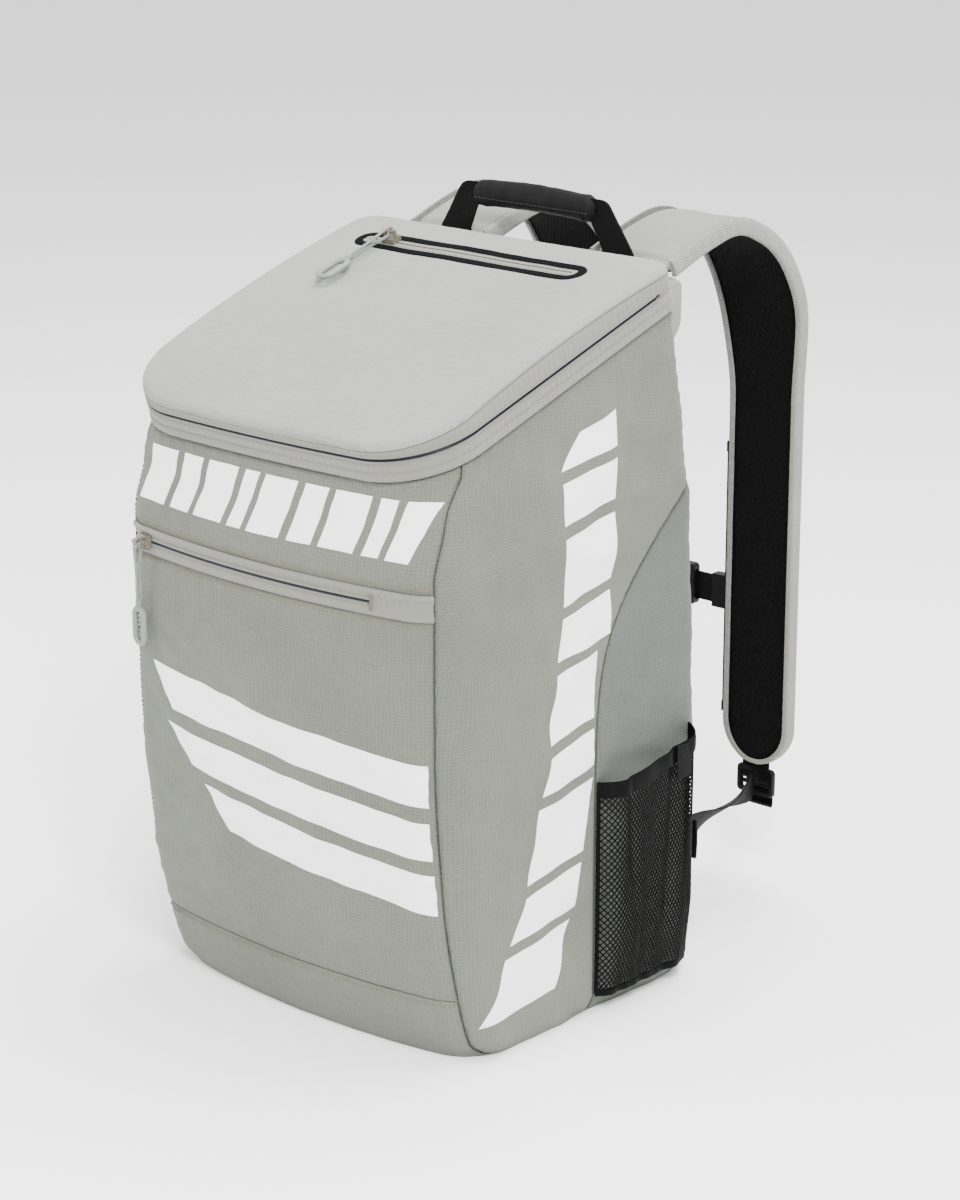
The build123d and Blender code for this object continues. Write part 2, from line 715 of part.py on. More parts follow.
anchor_y = wall_y(ANCHOR_Z + ANCHOR[2] / 2) + ANCHOR[1] / 2
leg_low = HANDLE_SPAN / 2 - HANDLE_WEBBING / 2
leg_high = HANDLE_SPAN / 2 + HANDLE_WEBBING / 2
handle_half_y = HANDLE_THICKNESS / 2
with BuildPart() as sewn_anchors:
    with Locations((ANCHOR_X, anchor_y, ANCHOR_Z), (-ANCHOR_X, anchor_y, ANCHOR_Z)):
        Box(*ANCHOR)
    for low_x, high_x in ((leg_low, leg_high), (-leg_high, -leg_low)):
        zone(
            (low_x, HANDLE_Y - handle_half_y, YOKE_TOP_Z),
            (high_x, HANDLE_Y + handle_half_y, HANDLE_PIVOT_Z - handle_half_y - RUNNING_GAP),
            Mode.ADD,
        )
keep(sewn_anchors, "sewn_anchors")

for side, direction in (("right", 1), ("left", -1)):
    end_gap = 5 * RUNNING_GAP
    start = Vector(direction * ANCHOR_X, anchor_y + ANCHOR[1] / 2 + end_gap, ANCHOR_Z)
    end = Vector(direction * STRAP_CENTRE_X, lock_y - LOCK[1] / 2 - end_gap, LOCK_Z)
    along = end - start
    across = Vector(-direction * along.Y, direction * along.X, 0)
    webbing_plane = Plane(origin=(start + end) / 2, x_dir=along, z_dir=across)
    with BuildPart(webbing_plane) as lower_webbing:
        Box(along.length, WEBBING, WEBBING_THICKNESS)
    keep(lower_webbing, f"{side}_lower_webbing")

# --- sternum strap ------------------------------------------------------------
strap_edge_x = STRAP_CENTRE_X - STRAP_WIDTH / 2
with BuildPart() as sternum_rails:
    for x, edge in ((RAIL_X, strap_edge_x), (-RAIL_X, -strap_edge_x)):
        low_x = min(x - RAIL_R, edge)
        high_x = max(x + RAIL_R, edge)
        with Locations((x, STERNUM_Y, (RAIL_BOTTOM_Z + RAIL_TOP_Z) / 2)):
            Cylinder(RAIL_R, RAIL_TOP_Z - RAIL_BOTTOM_Z)
        for foot_z in (RAIL_BOTTOM_Z - RAIL_FOOT, RAIL_TOP_Z):
            zone(
                (low_x, STERNUM_Y - RAIL_R, foot_z),
                (high_x, STERNUM_Y + RAIL_R, foot_z + RAIL_FOOT),
                Mode.ADD,
            )
keep(sternum_rails, "sternum_rails")

guide_out_x = strap_edge_x - RUNNING_GAP
guide_in_x = guide_out_x - GUIDE[0]
with BuildPart() as sternum_guides:
    for direction in (1, -1):
        with Locations((direction * (guide_in_x + guide_out_x) / 2, STERNUM_Y, STERNUM_Z)):
            Box(*GUIDE)
        with Locations((direction * RAIL_X, STERNUM_Y, STERNUM_Z)):
            Cylinder(RAIL_BORE_R, GUIDE[2], mode=Mode.SUBTRACT)
keep(sternum_guides, "sternum_guides")

with BuildPart() as sternum_webbing:
    half = STERNUM_WEBBING / 2
    webbing_start = MALE_X[0] + MALE_BAR + BUCKLE_TRAVEL + RUNNING_GAP
    for low_x, high_x in ((webbing_start, guide_in_x), (-guide_in_x, FEMALE_X[0])):
        zone(
            (low_x, STERNUM_Y - WEBBING_THICKNESS / 2, STERNUM_Z - half),
            (high_x, STERNUM_Y + WEBBING_THICKNESS / 2, STERNUM_Z + half),
            Mode.ADD,
        )
keep(sternum_webbing, "sternum_webbing")

with BuildPart() as sternum_female_buckle:
    half_y = BUCKLE_THICKNESS / 2
    half_z = BUCKLE_HEIGHT / 2
    zone(
        (FEMALE_X[0], STERNUM_Y - half_y, STERNUM_Z - half_z),
        (FEMALE_X[1], STERNUM_Y + half_y, STERNUM_Z + half_z),
        Mode.ADD,
    )
    fillet(sternum_female_buckle.edges().filter_by(Axis.Y), radius=BUCKLE_CORNER_R)
    zone(
        (FEMALE_X[1] - MOUTH_DEPTH, STERNUM_Y - MOUTH_THICKNESS / 2,
         STERNUM_Z - MOUTH_HEIGHT / 2),
        (FEMALE_X[1], STERNUM_Y + MOUTH_THICKNESS / 2, STERNUM_Z + MOUTH_HEIGHT / 2),
        Mode.SUBTRACT,
    )
keep(sternum_female_buckle, "sternum_female_buckle")

with BuildPart() as sternum_male_buckle:
    zone(
        (MALE_X[0], STERNUM_Y - half_y + PLUG_STEP, STERNUM_Z - half_z),
        (MALE_X[1], STERNUM_Y + half_y - PLUG_STEP, STERNUM_Z + half_z),
        Mode.ADD,
    )
    fillet(sternum_male_buckle.edges().filter_by(Axis.Y), radius=BUCKLE_CORNER_R - PLUG_STEP)
    zone(
        (MALE_X[0] + MALE_BAR, STERNUM_Y - WEBBING_SLOT / 2,
         STERNUM_Z - STERNUM_WEBBING / 2 - SLOT_MARGIN),
        (MALE_X[1], STERNUM_Y + WEBBING_SLOT / 2,
         STERNUM_Z + STERNUM_WEBBING / 2 + SLOT_MARGIN),
        Mode.SUBTRACT,
    )
    prong_half_y = MOUTH_THICKNESS / 2 - PRONG_GAP
    prong_half_z = MOUTH_HEIGHT / 2 - PRONG_GAP
    zone(
        (MALE_X[0] - PRONG_REACH, STERNUM_Y - prong_half_y, STERNUM_Z - prong_half_z),
        (MALE_X[0] + PRONG_ROOT, STERNUM_Y + prong_half_y, STERNUM_Z + prong_half_z),
        Mode.ADD,
    )
    zone(
        (MALE_X[0] - PRONG_REACH, STERNUM_Y - prong_half_y,
         STERNUM_Z - prong_half_z / 2),
        (MALE_X[0], STERNUM_Y + prong_half_y, STERNUM_Z + prong_half_z / 2),
        Mode.SUBTRACT,
    )
keep(sternum_male_buckle, "sternum_male_buckle")

# --- handle -------------------------------------------------------------------
grip_z = HANDLE_TOP_Z - GRIP_HEIGHT / 2
with BuildPart() as handle_webbing:
    with BuildSketch(Plane.XZ.offset(-HANDLE_Y - handle_half_y)):
        with BuildLine():
            Polyline(
                (-leg_high, HANDLE_PIVOT_Z),
                (-leg_high + GRIP_HEIGHT, HANDLE_TOP_Z - WRAP),
                (leg_high - GRIP_HEIGHT, HANDLE_TOP_Z - WRAP),
                (leg_high, HANDLE_PIVOT_Z),
                (leg_low, HANDLE_PIVOT_Z),
                (leg_low - GRIP_HEIGHT, HANDLE_TOP_Z + WRAP - GRIP_HEIGHT),
                (-leg_low + GRIP_HEIGHT, HANDLE_TOP_Z + WRAP - GRIP_HEIGHT),
                (-leg_low, HANDLE_PIVOT_Z),
                close=True,
            )
        make_face()
    extrude(amount=HANDLE_THICKNESS)
    for x in (-HANDLE_SPAN / 2, HANDLE_SPAN / 2):
        with Locations(Location((x, HANDLE_Y, HANDLE_PIVOT_Z), (0, 90, 0))):
            Cylinder(handle_half_y, HANDLE_WEBBING)
    zone(
        (-GRIP_LENGTH / 2, HANDLE_Y - GRIP_THICKNESS, HANDLE_PIVOT_Z),
        (GRIP_LENGTH / 2, HANDLE_Y + GRIP_THICKNESS, HANDLE_TOP_Z),
        Mode.SUBTRACT,
    )
keep(handle_webbing, "handle_webbing")

with BuildPart() as handle_grip:
    with BuildSketch(Plane.YZ.offset(-GRIP_LENGTH / 2)):
        with Locations((HANDLE_Y, grip_z)):
            Ellipse(GRIP_THICKNESS / 2, GRIP_HEIGHT / 2)
    extrude(amount=GRIP_LENGTH)
keep(handle_grip, "handle_grip")


# --- zip sliders and pulls ----------------------------------------------------
def zip_slider(plane, pivot_off, name):
    """A slider on its tape: a plate, two ears and the bar that the pull swings on."""
    with BuildPart(plane) as slider:
        with Locations((0, 0, RUNNING_GAP + SLIDER[2] / 2)):
            Box(*SLIDER)
        ear_height = pivot_off + BAR_R - RUNNING_GAP
        ear_x = SLIDER[0] / 2 - EAR / 2
        with Locations(
            (ear_x, 0, RUNNING_GAP + ear_height / 2), (-ear_x, 0, RUNNING_GAP + ear_height / 2)
        ):
            Box(EAR, 2 * BAR_R, ear_height)
        with Locations(Location((0, 0, pivot_off), (0, 90, 0))):
            Cylinder(BAR_R, SLIDER[0])
    keep(slider, name)


def zip_pull(plane, cord_name, ring_name):
    """The pull's cord, looped round the slider's bar, and the ring moulded on it."""
    with BuildPart() as cord:
        cord_plane = Plane(origin=plane.origin, x_dir=plane.y_dir, z_dir=plane.x_dir)
        points = [cord_plane.from_local_coords(Vector(a, b, 0)) for a, b in PULL_CORD]
        with BuildLine() as route:
            FilletPolyline(*points, radius=arc_radii([(a, b) for a, b in PULL_CORD]))
        with BuildSketch(Plane(origin=points[0], z_dir=route.line % 0)):
            Circle(PULL_CORD_D / 2)
        sweep()
    keep(cord, cord_name)

    with BuildPart(plane) as ring:
        ring_y = PULL_CORD[0][0] - GRIP_RING[0] / 2
        with BuildSketch(plane.offset(-GRIP_TUBE / 2)):
            with Locations((0, ring_y)):
                SlotOverall(*GRIP_RING, rotation=90)
                SlotOverall(
                    GRIP_RING[0] - 2 * GRIP_TUBE, GRIP_RING[1] - 2 * GRIP_TUBE,
                    rotation=90, mode=Mode.SUBTRACT,
                )
        extrude(amount=GRIP_TUBE)
        fillet(ring.edges(), radius=RING_ROUND)
    keep(ring, ring_name)


bow_angle = math.asin(FRONT_SLIDER_X / BOW_R)
bow_normal = Vector(math.sin(bow_angle), -math.cos(bow_angle), 0)
front_tape = Plane(
    origin=Vector(0, BOW_CENTRE_Y, POCKET_ZIP_Z) + bow_normal * BOW_R,
    x_dir=(-bow_normal.Y, bow_normal.X, 0),
    z_dir=bow_normal,
)
zip_slider(front_tape, PIVOT_OFF, "front_zip_slider")
zip_pull(front_tape.offset(PIVOT_OFF), "front_pull_cord", "front_pull_ring")


def crown_height(v):
    """Height of the lid's top surface over the mouth plane, on its crown arc."""
    arc = ThreePointArc(*crown_points(0))
    centre = arc.arc_center
    return centre.Y + math.sqrt(arc.radius**2 - (v - centre.X) ** 2)


slot_height = crown_height(LID_POCKET_V) + LID_BORDER + LID_CHAIN_RISE
lid_tape = Plane(
    origin=at_mouth(LID_SLIDER_X, LID_POCKET_V, slot_height),
    x_dir=(1, 0, 0),
    z_dir=mouth.z_dir,
)
zip_slider(lid_tape, PIVOT_OFF, "lid_zip_slider")
zip_pull(lid_tape.offset(PIVOT_OFF), "lid_pull_cord", "lid_pull_ring")

for letter, slider_v in zip("ab", MAIN_SLIDER_V):
    side_tape = Plane(
        origin=at_mouth(-LID_HALF, slider_v, -SLIDER[1] / 2 - LID_FOOT),
        x_dir=-mouth.y_dir,
        z_dir=(-1, 0, 0),
    )
    zip_slider(side_tape, MAIN_PIVOT_OFF, f"main_zip_slider_{letter}")
    hanging = Plane(origin=side_tape.origin, x_dir=(0, -1, 0), z_dir=(-1, 0, 0))
    zip_pull(
        hanging.offset(MAIN_PIVOT_OFF), f"main_pull_cord_{letter}", f"main_pull_ring_{letter}"
    )
    print("main slider", letter, "at", side_tape.origin)

print("pull cord arcs, mm:", [round(r, 1) for r in arc_radii(PULL_CORD)])
print("front zip arc: centre y", round(BOW_CENTRE_Y, 3), "radius", round(BOW_R, 3))
print("front tape at", front_tape.origin, "runs along", front_tape.x_dir)
print("lid hinge at", at_mouth(0, LID_V, LID_FOOT), "lid slider at", lid_tape.origin)
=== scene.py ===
import math
import bmesh
import bpy
import numpy as np
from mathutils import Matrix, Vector


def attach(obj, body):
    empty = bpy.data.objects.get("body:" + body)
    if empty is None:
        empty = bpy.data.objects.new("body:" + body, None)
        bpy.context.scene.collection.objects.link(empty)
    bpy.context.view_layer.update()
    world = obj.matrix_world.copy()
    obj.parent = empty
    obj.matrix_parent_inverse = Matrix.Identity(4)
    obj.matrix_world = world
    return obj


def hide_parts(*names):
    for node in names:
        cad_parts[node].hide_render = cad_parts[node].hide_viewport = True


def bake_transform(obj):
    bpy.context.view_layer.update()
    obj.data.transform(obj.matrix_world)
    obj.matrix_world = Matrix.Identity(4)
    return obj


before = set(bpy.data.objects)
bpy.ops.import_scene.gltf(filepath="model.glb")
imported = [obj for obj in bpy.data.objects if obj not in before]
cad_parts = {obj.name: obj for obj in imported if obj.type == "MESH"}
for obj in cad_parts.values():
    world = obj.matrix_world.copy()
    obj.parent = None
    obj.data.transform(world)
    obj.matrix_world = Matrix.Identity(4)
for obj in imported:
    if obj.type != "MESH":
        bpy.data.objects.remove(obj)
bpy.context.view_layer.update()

# Lengths below are millimetres in the row frame; build() turns them into metres.
MM = 0.001
UV_MM = 0.01

# --- sizes that the CAD model was packed with ---------------------------------
HALF_WIDTH = 150.0
FRONT_CORNER_Y = -143.0
BACK_Y = 125.0
FRONT_BOW = 17.0
WALL = 4.0
SEAM_X = 140.0
FRONT_R = 35.0
REAR_R = 16.0
SIDE_SEAM_Y = 12.0
SIDE_SEAM_Z = 284.0
SIDE_SEAM_SLOPE = 0.82
LID_TILT = math.radians(18.0)
LID_CENTRE = np.array([0.0, -24.0, 462.6])
LID_HALF = 143.0
LID_V = 134.0
LID_FRONT_R = 57.0
LID_REAR_R = 16.0
LID_BOW = 5.0
BAND_W = -16.0
STATIONS = np.array([
    [0.0, 42.0, 6.0, 7.0],
    [14.0, 33.0, 3.0, 0.0],
    [48.0, 22.0, 0.0, 0.0],
    [120.0, 8.0, -2.0, 0.0],
    [230.0, 0.0, 0.0, 0.0],
    [303.0, 0.0, 4.0, 0.0],
    [343.0, 0.0, 6.0, 0.0],
    [378.0, 8.0, 8.0, 2.0],
])
TOP_H = 436.0               # the body's height parameter at the rim band
STRAP_X = 85.0
STRAP_LINE = np.array([
    (124.0, 505.0), (160.0, 518.0), (199.0, 527.0), (246.0, 505.5),
    (274.5, 461.0), (282.0, 400.0), (282.0, 90.0),
])


# --- meshes -------------------------------------------------------------------
def build(name, body, points, faces, materials, uvs=None, which=None, node=(), slot=None,
          crease=40.0):
    """One closed piece from points in millimetres; uvs holds one pair for each face corner."""
    mesh = bpy.data.meshes.new(name)
    mesh.from_pydata((np.asarray(points, float) * MM).tolist(), [], faces)
    for m in materials:
        mesh.materials.append(m)
    if which is not None:
        mesh.polygons.foreach_set("material_index", np.asarray(which, np.int32))
    if uvs is not None:
        layer = mesh.uv_layers.new(name="UVMap")
        layer.data.foreach_set("uv", (np.asarray(uvs, float) * UV_MM).ravel())
    bm = bmesh.new()
    bm.from_mesh(mesh)
    bmesh.ops.recalc_face_normals(bm, faces=bm.faces[:])
    limit = math.radians(crease)
    for face in bm.faces:
        face.smooth = True
    for edge in bm.edges:
        edge.smooth = len(edge.link_faces) != 2 or edge.calc_face_angle(0) < limit
    bm.to_mesh(mesh)
    bm.free()
    obj = bpy.data.objects.new(name, mesh)
    bpy.context.scene.collection.objects.link(obj)
    if body:
        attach(obj, body)
    if node:
        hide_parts(*node)
    return obj


def grid_quads(rows, cols, around=False, turn=False, first=0):
    """Corner indices of the quads between grid points: around joins the last column to the first, turn
    the rows.
    """
    r = np.arange(rows if turn else rows - 1)
    c = np.arange(cols if around else cols - 1)
    i, j = np.meshgrid(r, c, indexing="ij")
    i2, j2 = (i + 1) % rows, (j + 1) % cols
    quads = np.stack([i * cols + j, i * cols + j2, i2 * cols + j2, i2 * cols + j], -1)
    return quads.reshape(-1, 4) + first


def run_length(points, axis):
    """Distance along a grid of points in one direction, from its first point."""
    step = np.linalg.norm(np.diff(points, axis=axis), axis=-1)
    start = np.zeros_like(np.take(step, [0], axis=axis))
    return np.concatenate([start, np.cumsum(step, axis=axis)], axis=axis)


def tube(name, body, rings, materials, turn=False, bands=None, tip=False, **more):
    """A closed skin over rings [n, m, 3]: each ring is joined to itself, ring to ring; turn joins the
    last ring to the first, else flat or pointed ends close it.
    """
    rings = np.asarray(rings, float)
    n, m = rings.shape[:2]
    quads = grid_quads(n, m, True, turn)
    shut = np.concatenate([rings, rings[:, :1]], 1)
    shut = np.concatenate([shut, shut[:1]], 0) if turn else shut
    across = run_length(shut, 1)
    along = run_length(shut, 0)
    rows = n if turn else n - 1
    i, j = np.meshgrid(np.arange(rows), np.arange(m), indexing="ij")
    uv = np.stack([across, along], -1)
    corners = np.stack([uv[i, j], uv[i, j + 1], uv[i + 1, j + 1], uv[i + 1, j]], -2)
    faces = quads.tolist()
    uvs = corners.reshape(-1, 2)
    which = None if bands is None else np.tile(np.asarray(bands), rows)
    points = rings.reshape(-1, 3)
    if not turn:
        ends = [rings[0].mean(0), rings[-1].mean(0)]
        points = np.concatenate([points, ends])
        caps = []
        for base, pole in ((0, n * m), ((n - 1) * m, n * m + 1)):
            j = np.arange(m)
            caps.append(np.stack([base + j, base + (j + 1) % m, np.full(m, pole)], -1))
        caps = np.concatenate(caps)
        faces = faces + caps.tolist()
        uvs = np.concatenate([uvs, (points[caps][..., [0, 2]]).reshape(-1, 2)])
        if which is not None:
            which = np.concatenate([which, np.tile(np.asarray(bands), 2)])
    return build(name, body, points, faces, materials, uvs, which, **more)


def shell(name, body, outer, inner, materials, uv=None, **more):
    """A sheet with thickness: a grid of outer points, a like grid of inner points, joined round the
    edge; the second material is the inner face's.
    """
    n, m = outer.shape[:2]
    points = np.concatenate([outer.reshape(-1, 3), inner.reshape(-1, 3)])
    front = grid_quads(n, m)
    back = grid_quads(n, m, first=n * m)[:, ::-1]
    edge = np.concatenate([
        np.arange(m), np.arange(1, n) * m + m - 1,
        (n - 1) * m + np.arange(m - 2, -1, -1), np.arange(n - 2, 0, -1) * m,
    ])
    after = np.roll(edge, -1)
    rim = np.stack([edge, after, after + n * m, edge + n * m], -1)
    faces = np.concatenate([front, back, rim])
    if uv is None:
        uv = np.stack([run_length(outer, 1), run_length(outer, 0)], -1)
        uv[..., 0] -= uv[:, -1:, 0] / 2
    flat = np.concatenate([uv.reshape(-1, 2), uv.reshape(-1, 2) + 0.7])
    which = np.concatenate([
        np.zeros(len(front)), np.full(len(back), len(materials) - 1), np.zeros(len(rim)),
    ])
    return build(
        name, body, points, faces.tolist(), materials, flat[faces].reshape(-1, 2), which, **more
    )


def grid_normals(points, around=False):
    """Unit normals of a grid of points, from the differences along its two directions."""
    if around:
        wide = np.concatenate([points[:, -1:], points, points[:, :1]], 1)
        across = np.gradient(wide, axis=1)[:, 1:-1]
    else:
        across = np.gradient(points, axis=1)
    along = np.gradient(points, axis=0)
    n = np.cross(across, along)
    return n / np.maximum(np.linalg.norm(n, axis=-1, keepdims=True), 1e-9)


def small_copies(name, body, solid, faces, places, frames, material, **more):
    """Many copies of one small solid: its points [k, 3], each copy's place and its three axes as rows."""
    count, k = len(places), len(solid)
    points = np.einsum("kc,ncx->nkx", solid, frames) + places[:, None]
    shift = (np.arange(count) * k)[:, None, None]
    all_faces = (np.asarray(faces)[None] + shift).reshape(-1, np.asarray(faces).shape[1])
    uvs = np.tile(np.array([[0, 0], [1, 0], [1, 1], [0, 1]], float), (len(all_faces), 1))
    return build(name, body, points.reshape(-1, 3), all_faces.tolist(), [material], uvs, **more)


def bead(length, width, height):
    """A small rounded bar along its first axis: a box whose ends and top are drawn in; 8 points, 6
    faces.
    """
    a, b = length / 2, width / 2
    low = [(-a, -b, 0), (a, -b, 0), (a, b, 0), (-a, b, 0)]
    top = [(-a * 0.6, -b * 0.55, height), (a * 0.6, -b * 0.55, height),
           (a * 0.6, b * 0.55, height), (-a * 0.6, b * 0.55, height)]
    faces = [(3, 2, 1, 0), (4, 5, 6, 7), (0, 1, 5, 4), (1, 2, 6, 5), (2, 3, 7, 6), (3, 0, 4, 7)]
    return np.array(low + top, float), faces


def even_points(line, step):
    """Points at even distances along a line [n, 3], about one step apart, with their directions."""
    run = np.concatenate([[0], np.cumsum(np.linalg.norm(np.diff(line, axis=0), axis=1))])
    count = max(2, int(run[-1] / step))
    at = (np.arange(count) + 0.5) * run[-1] / count
    here = np.stack([np.interp(at, run, line[:, k]) for k in range(3)], -1)
    ahead = np.stack([np.interp(at + 0.4, run, line[:, k]) for k in range(3)], -1)
    behind = np.stack([np.interp(at - 0.4, run, line[:, k]) for k in range(3)], -1)
    way = ahead - behind
    way /= np.maximum(np.linalg.norm(way, axis=1, keepdims=True), 1e-9)
    return here, way, at / run[-1]


def bead_row(name, body, line, normals, step, size, material, lean=0.0, **more):
    """Beads set at even steps along a line on a surface: stitches or zip teeth. normals are the
    surface's along the line; lean turns each bead from the line's direction.
    """
    here, way, share = even_points(line, step)
    place = np.linspace(0, 1, len(normals))
    run = np.concatenate([[0], np.cumsum(np.linalg.norm(np.diff(line, axis=0), axis=1))])
    if len(normals) == len(line):
        place = run / run[-1]
    up = np.stack([np.interp(share, place, normals[:, k]) for k in range(3)], -1)
    up -= (up * way).sum(1, keepdims=True) * way
    up /= np.linalg.norm(up, axis=1, keepdims=True)
    side = np.cross(up, way)
    c, s = math.cos(lean), math.sin(lean)
    frames = np.stack([c * way + s * side, c * side - s * way, up], 1)
    solid, faces = bead(*size)
    solid[:, 2] -= size[2] * 0.35
    return small_copies(name, body, solid, faces, here, frames, material, **more)


def soft_noise(x, y, scale, seed, waves=7):
    """Smooth wandering height in -1..1: a sum of a few sine waves in random directions, their lengths
    near scale.
    """
    r = np.random.default_rng(seed)
    total = np.zeros(np.broadcast(x, y).shape)
    for _ in range(waves):
        turn = r.uniform(0, math.tau)
        size = scale * r.uniform(0.6, 1.7)
        total += np.sin((x * math.cos(turn) + y * math.sin(turn)) * math.tau / size + r.uniform(0,
            math.tau))
    return total / waves ** 0.5


def rounded_line(points, radius_share, count):
    """A smooth run through a polyline's corners: each corner becomes a quadratic curve that leaves and
    joins its runs at a share of the shorter one; resampled to even steps.
    """
    points = np.asarray(points, float)
    out = [points[0]]
    for a, b, c in zip(points, points[1:], points[2:]):
        reach = radius_share * min(np.linalg.norm(b - a), np.linalg.norm(c - b))
        p = b + (a - b) / np.linalg.norm(a - b) * reach
        q = b + (c - b) / np.linalg.norm(c - b) * reach
        t = np.linspace(0, 1, 14)[:, None]
        out.extend((1 - t) ** 2 * p + 2 * t * (1 - t) * b + t ** 2 * q)
    out.append(points[-1])
    out = np.array(out)
    run = np.concatenate([[0], np.cumsum(np.linalg.norm(np.diff(out, axis=0), axis=1))])
    at = np.linspace(0, run[-1], count)
    return np.stack([np.interp(at, run, out[:, k]) for k in range(out.shape[1])], -1)


# --- materials ----------------------------------------------------------------
class Shader:
    """A material's node tree, with short ways to add maths and textures."""

    def __init__(self, name, colour, rough, sheen=0.0, metallic=0.0, coat=0.0, shine=0.25):
        self.material = bpy.data.materials.new(name)
        self.material.use_nodes = True
        self.tree = self.material.node_tree
        self.bsdf = next(n for n in self.tree.nodes if n.type == "BSDF_PRINCIPLED")
        self.bsdf.inputs["Base Color"].default_value = (*colour, 1)
        self.bsdf.inputs["Roughness"].default_value = rough
        self.bsdf.inputs["Metallic"].default_value = metallic
        self.bsdf.inputs["Specular IOR Level"].default_value = shine
        self.bsdf.inputs["Sheen Weight"].default_value = sheen
        self.bsdf.inputs["Sheen Roughness"].default_value = 0.45
        self.bsdf.inputs["Coat Weight"].default_value = coat
        self.material.diffuse_color = (*colour, 1)

    def node(self, kind, **settings):
        made = self.tree.nodes.new(kind)
        for key, value in settings.items():
            setattr(made, key, value)
        return made

    def link(self, a, b):
        self.tree.links.new(a, b)

    def math(self, operation, a, b=None):
        made = self.node("ShaderNodeMath", operation=operation)
        for socket, value in zip(made.inputs, (a, b)):
            if value is None:
                continue
            if isinstance(value, (int, float)):
                socket.default_value = value
            else:
                self.link(value, socket)
        return made.outputs[0]

    def uv(self):
        """The piece's own UV in millimetres, across and along."""
        split = self.node("ShaderNodeSeparateXYZ")
        self.link(self.node("ShaderNodeUVMap", uv_map="UVMap").outputs[0], split.inputs[0])
        return self.math("MULTIPLY", split.outputs[0], 100.0), self.math("MULTIPLY", split.outputs[1],
            100.0)

    def wave(self, value, pitch):
        """A sine of a length in millimetres, in 0..1."""
        turned = self.math("SINE", self.math("MULTIPLY", value, math.tau / pitch))
        return self.math("MULTIPLY", self.math("ADD", turned, 1.0), 0.5)

    def noise(self, scale, detail=3.0):
        made = self.node("ShaderNodeTexNoise")
        made.inputs["Scale"].default_value = scale
        made.inputs["Detail"].default_value = detail
        self.link(self.node("ShaderNodeTexCoord").outputs["Object"], made.inputs["Vector"])
        return made.outputs[0]

    def tint(self, value, low, high):
        """Base colour from low to high as value goes from 0 to 1."""
        ramp = self.node("ShaderNodeMix", data_type="RGBA")
        ramp.inputs["A"].default_value = (*low, 1)
        ramp.inputs["B"].default_value = (*high, 1)
        self.link(value, ramp.inputs["Factor"])
        self.link(ramp.outputs["Result"], self.bsdf.inputs["Base Color"])

    def bump(self, height, depth_mm, strength=1.0):
        made = self.node("ShaderNodeBump")
        made.inputs["Distance"].default_value = depth_mm * MM
        made.inputs["Strength"].default_value = strength
        self.link(height, made.inputs["Height"])
        self.link(made.outputs[0], self.bsdf.inputs["Normal"])


def shade(colour, amount):
    return tuple(c * amount for c in colour)


def woven(name, colour, thread, square, depth, sheen=0.1, rough=0.8, contrast=0.3):
    """Plain weave with a ripstop square: crossed threads, a raised thread at every square's edge, slow
    colour drift.
    """
    s = Shader(name, colour, rough, sheen)
    u, v = s.uv()
    weave = s.math("MULTIPLY", s.wave(u, thread), s.wave(v, thread))
    line_u = s.math("POWER", s.wave(u, square), 6.0)
    line_v = s.math("POWER", s.wave(v, square * 0.8), 6.0)
    lines = s.math("MAXIMUM", line_u, line_v)
    height = s.math("ADD", s.math("MULTIPLY", weave, 0.5), s.math("MULTIPLY", lines, 0.5))
    drift = s.math("MULTIPLY", s.noise(9.0), 0.5)
    speck = s.math("MULTIPLY", s.noise(420.0, 2.0), 0.35)
    tone = s.math("ADD", s.math("MULTIPLY", height, 0.55), s.math("ADD", drift, speck))
    s.tint(tone, shade(colour, 1 - contrast), shade(colour, 1 + contrast * 0.75))
    s.bump(height, depth)
    return s.material


def herringbone(name, colour, pitch, stripe, depth, contrast=0.25):
    """Twill tape: slanting threads that turn back at every stripe."""
    s = Shader(name, colour, 0.75, 0.2)
    u, v = s.uv()
    fold = s.math("PINGPONG", v, stripe)
    threads = s.wave(s.math("ADD", u, fold), pitch)
    rows = s.wave(v, pitch * 0.9)
    height = s.math("ADD", s.math("MULTIPLY", threads, 0.75), s.math("MULTIPLY", rows, 0.25))
    tone = s.math("ADD", s.math("MULTIPLY", height, 0.7), s.math("MULTIPLY", s.noise(14.0), 0.3))
    s.tint(tone, shade(colour, 1 - contrast), shade(colour, 1 + contrast * 0.6))
    s.bump(height, depth)
    return s.material


def ribbed(name, colour, pitch, depth, contrast=0.5, rough=0.6, sheen=0.0, shine=0.12):
    """Webbing: ribs across it, fine threads along it."""
    s = Shader(name, colour, rough, sheen, shine=shine)
    u, v = s.uv()
    ribs = s.wave(v, pitch)
    threads = s.wave(s.math("ADD", u, s.math("MULTIPLY", v, 0.5)), pitch * 0.8)
    height = s.math("ADD", s.math("MULTIPLY", ribs, 0.6), s.math("MULTIPLY", threads, 0.4))
    s.tint(
        s.math("ADD", s.math("MULTIPLY", height, 0.8), s.math("MULTIPLY", s.noise(60.0), 0.2)),
        shade(colour, 1 - contrast), shade(colour, 1 + contrast),
    )
    s.bump(height, depth)
    return s.material


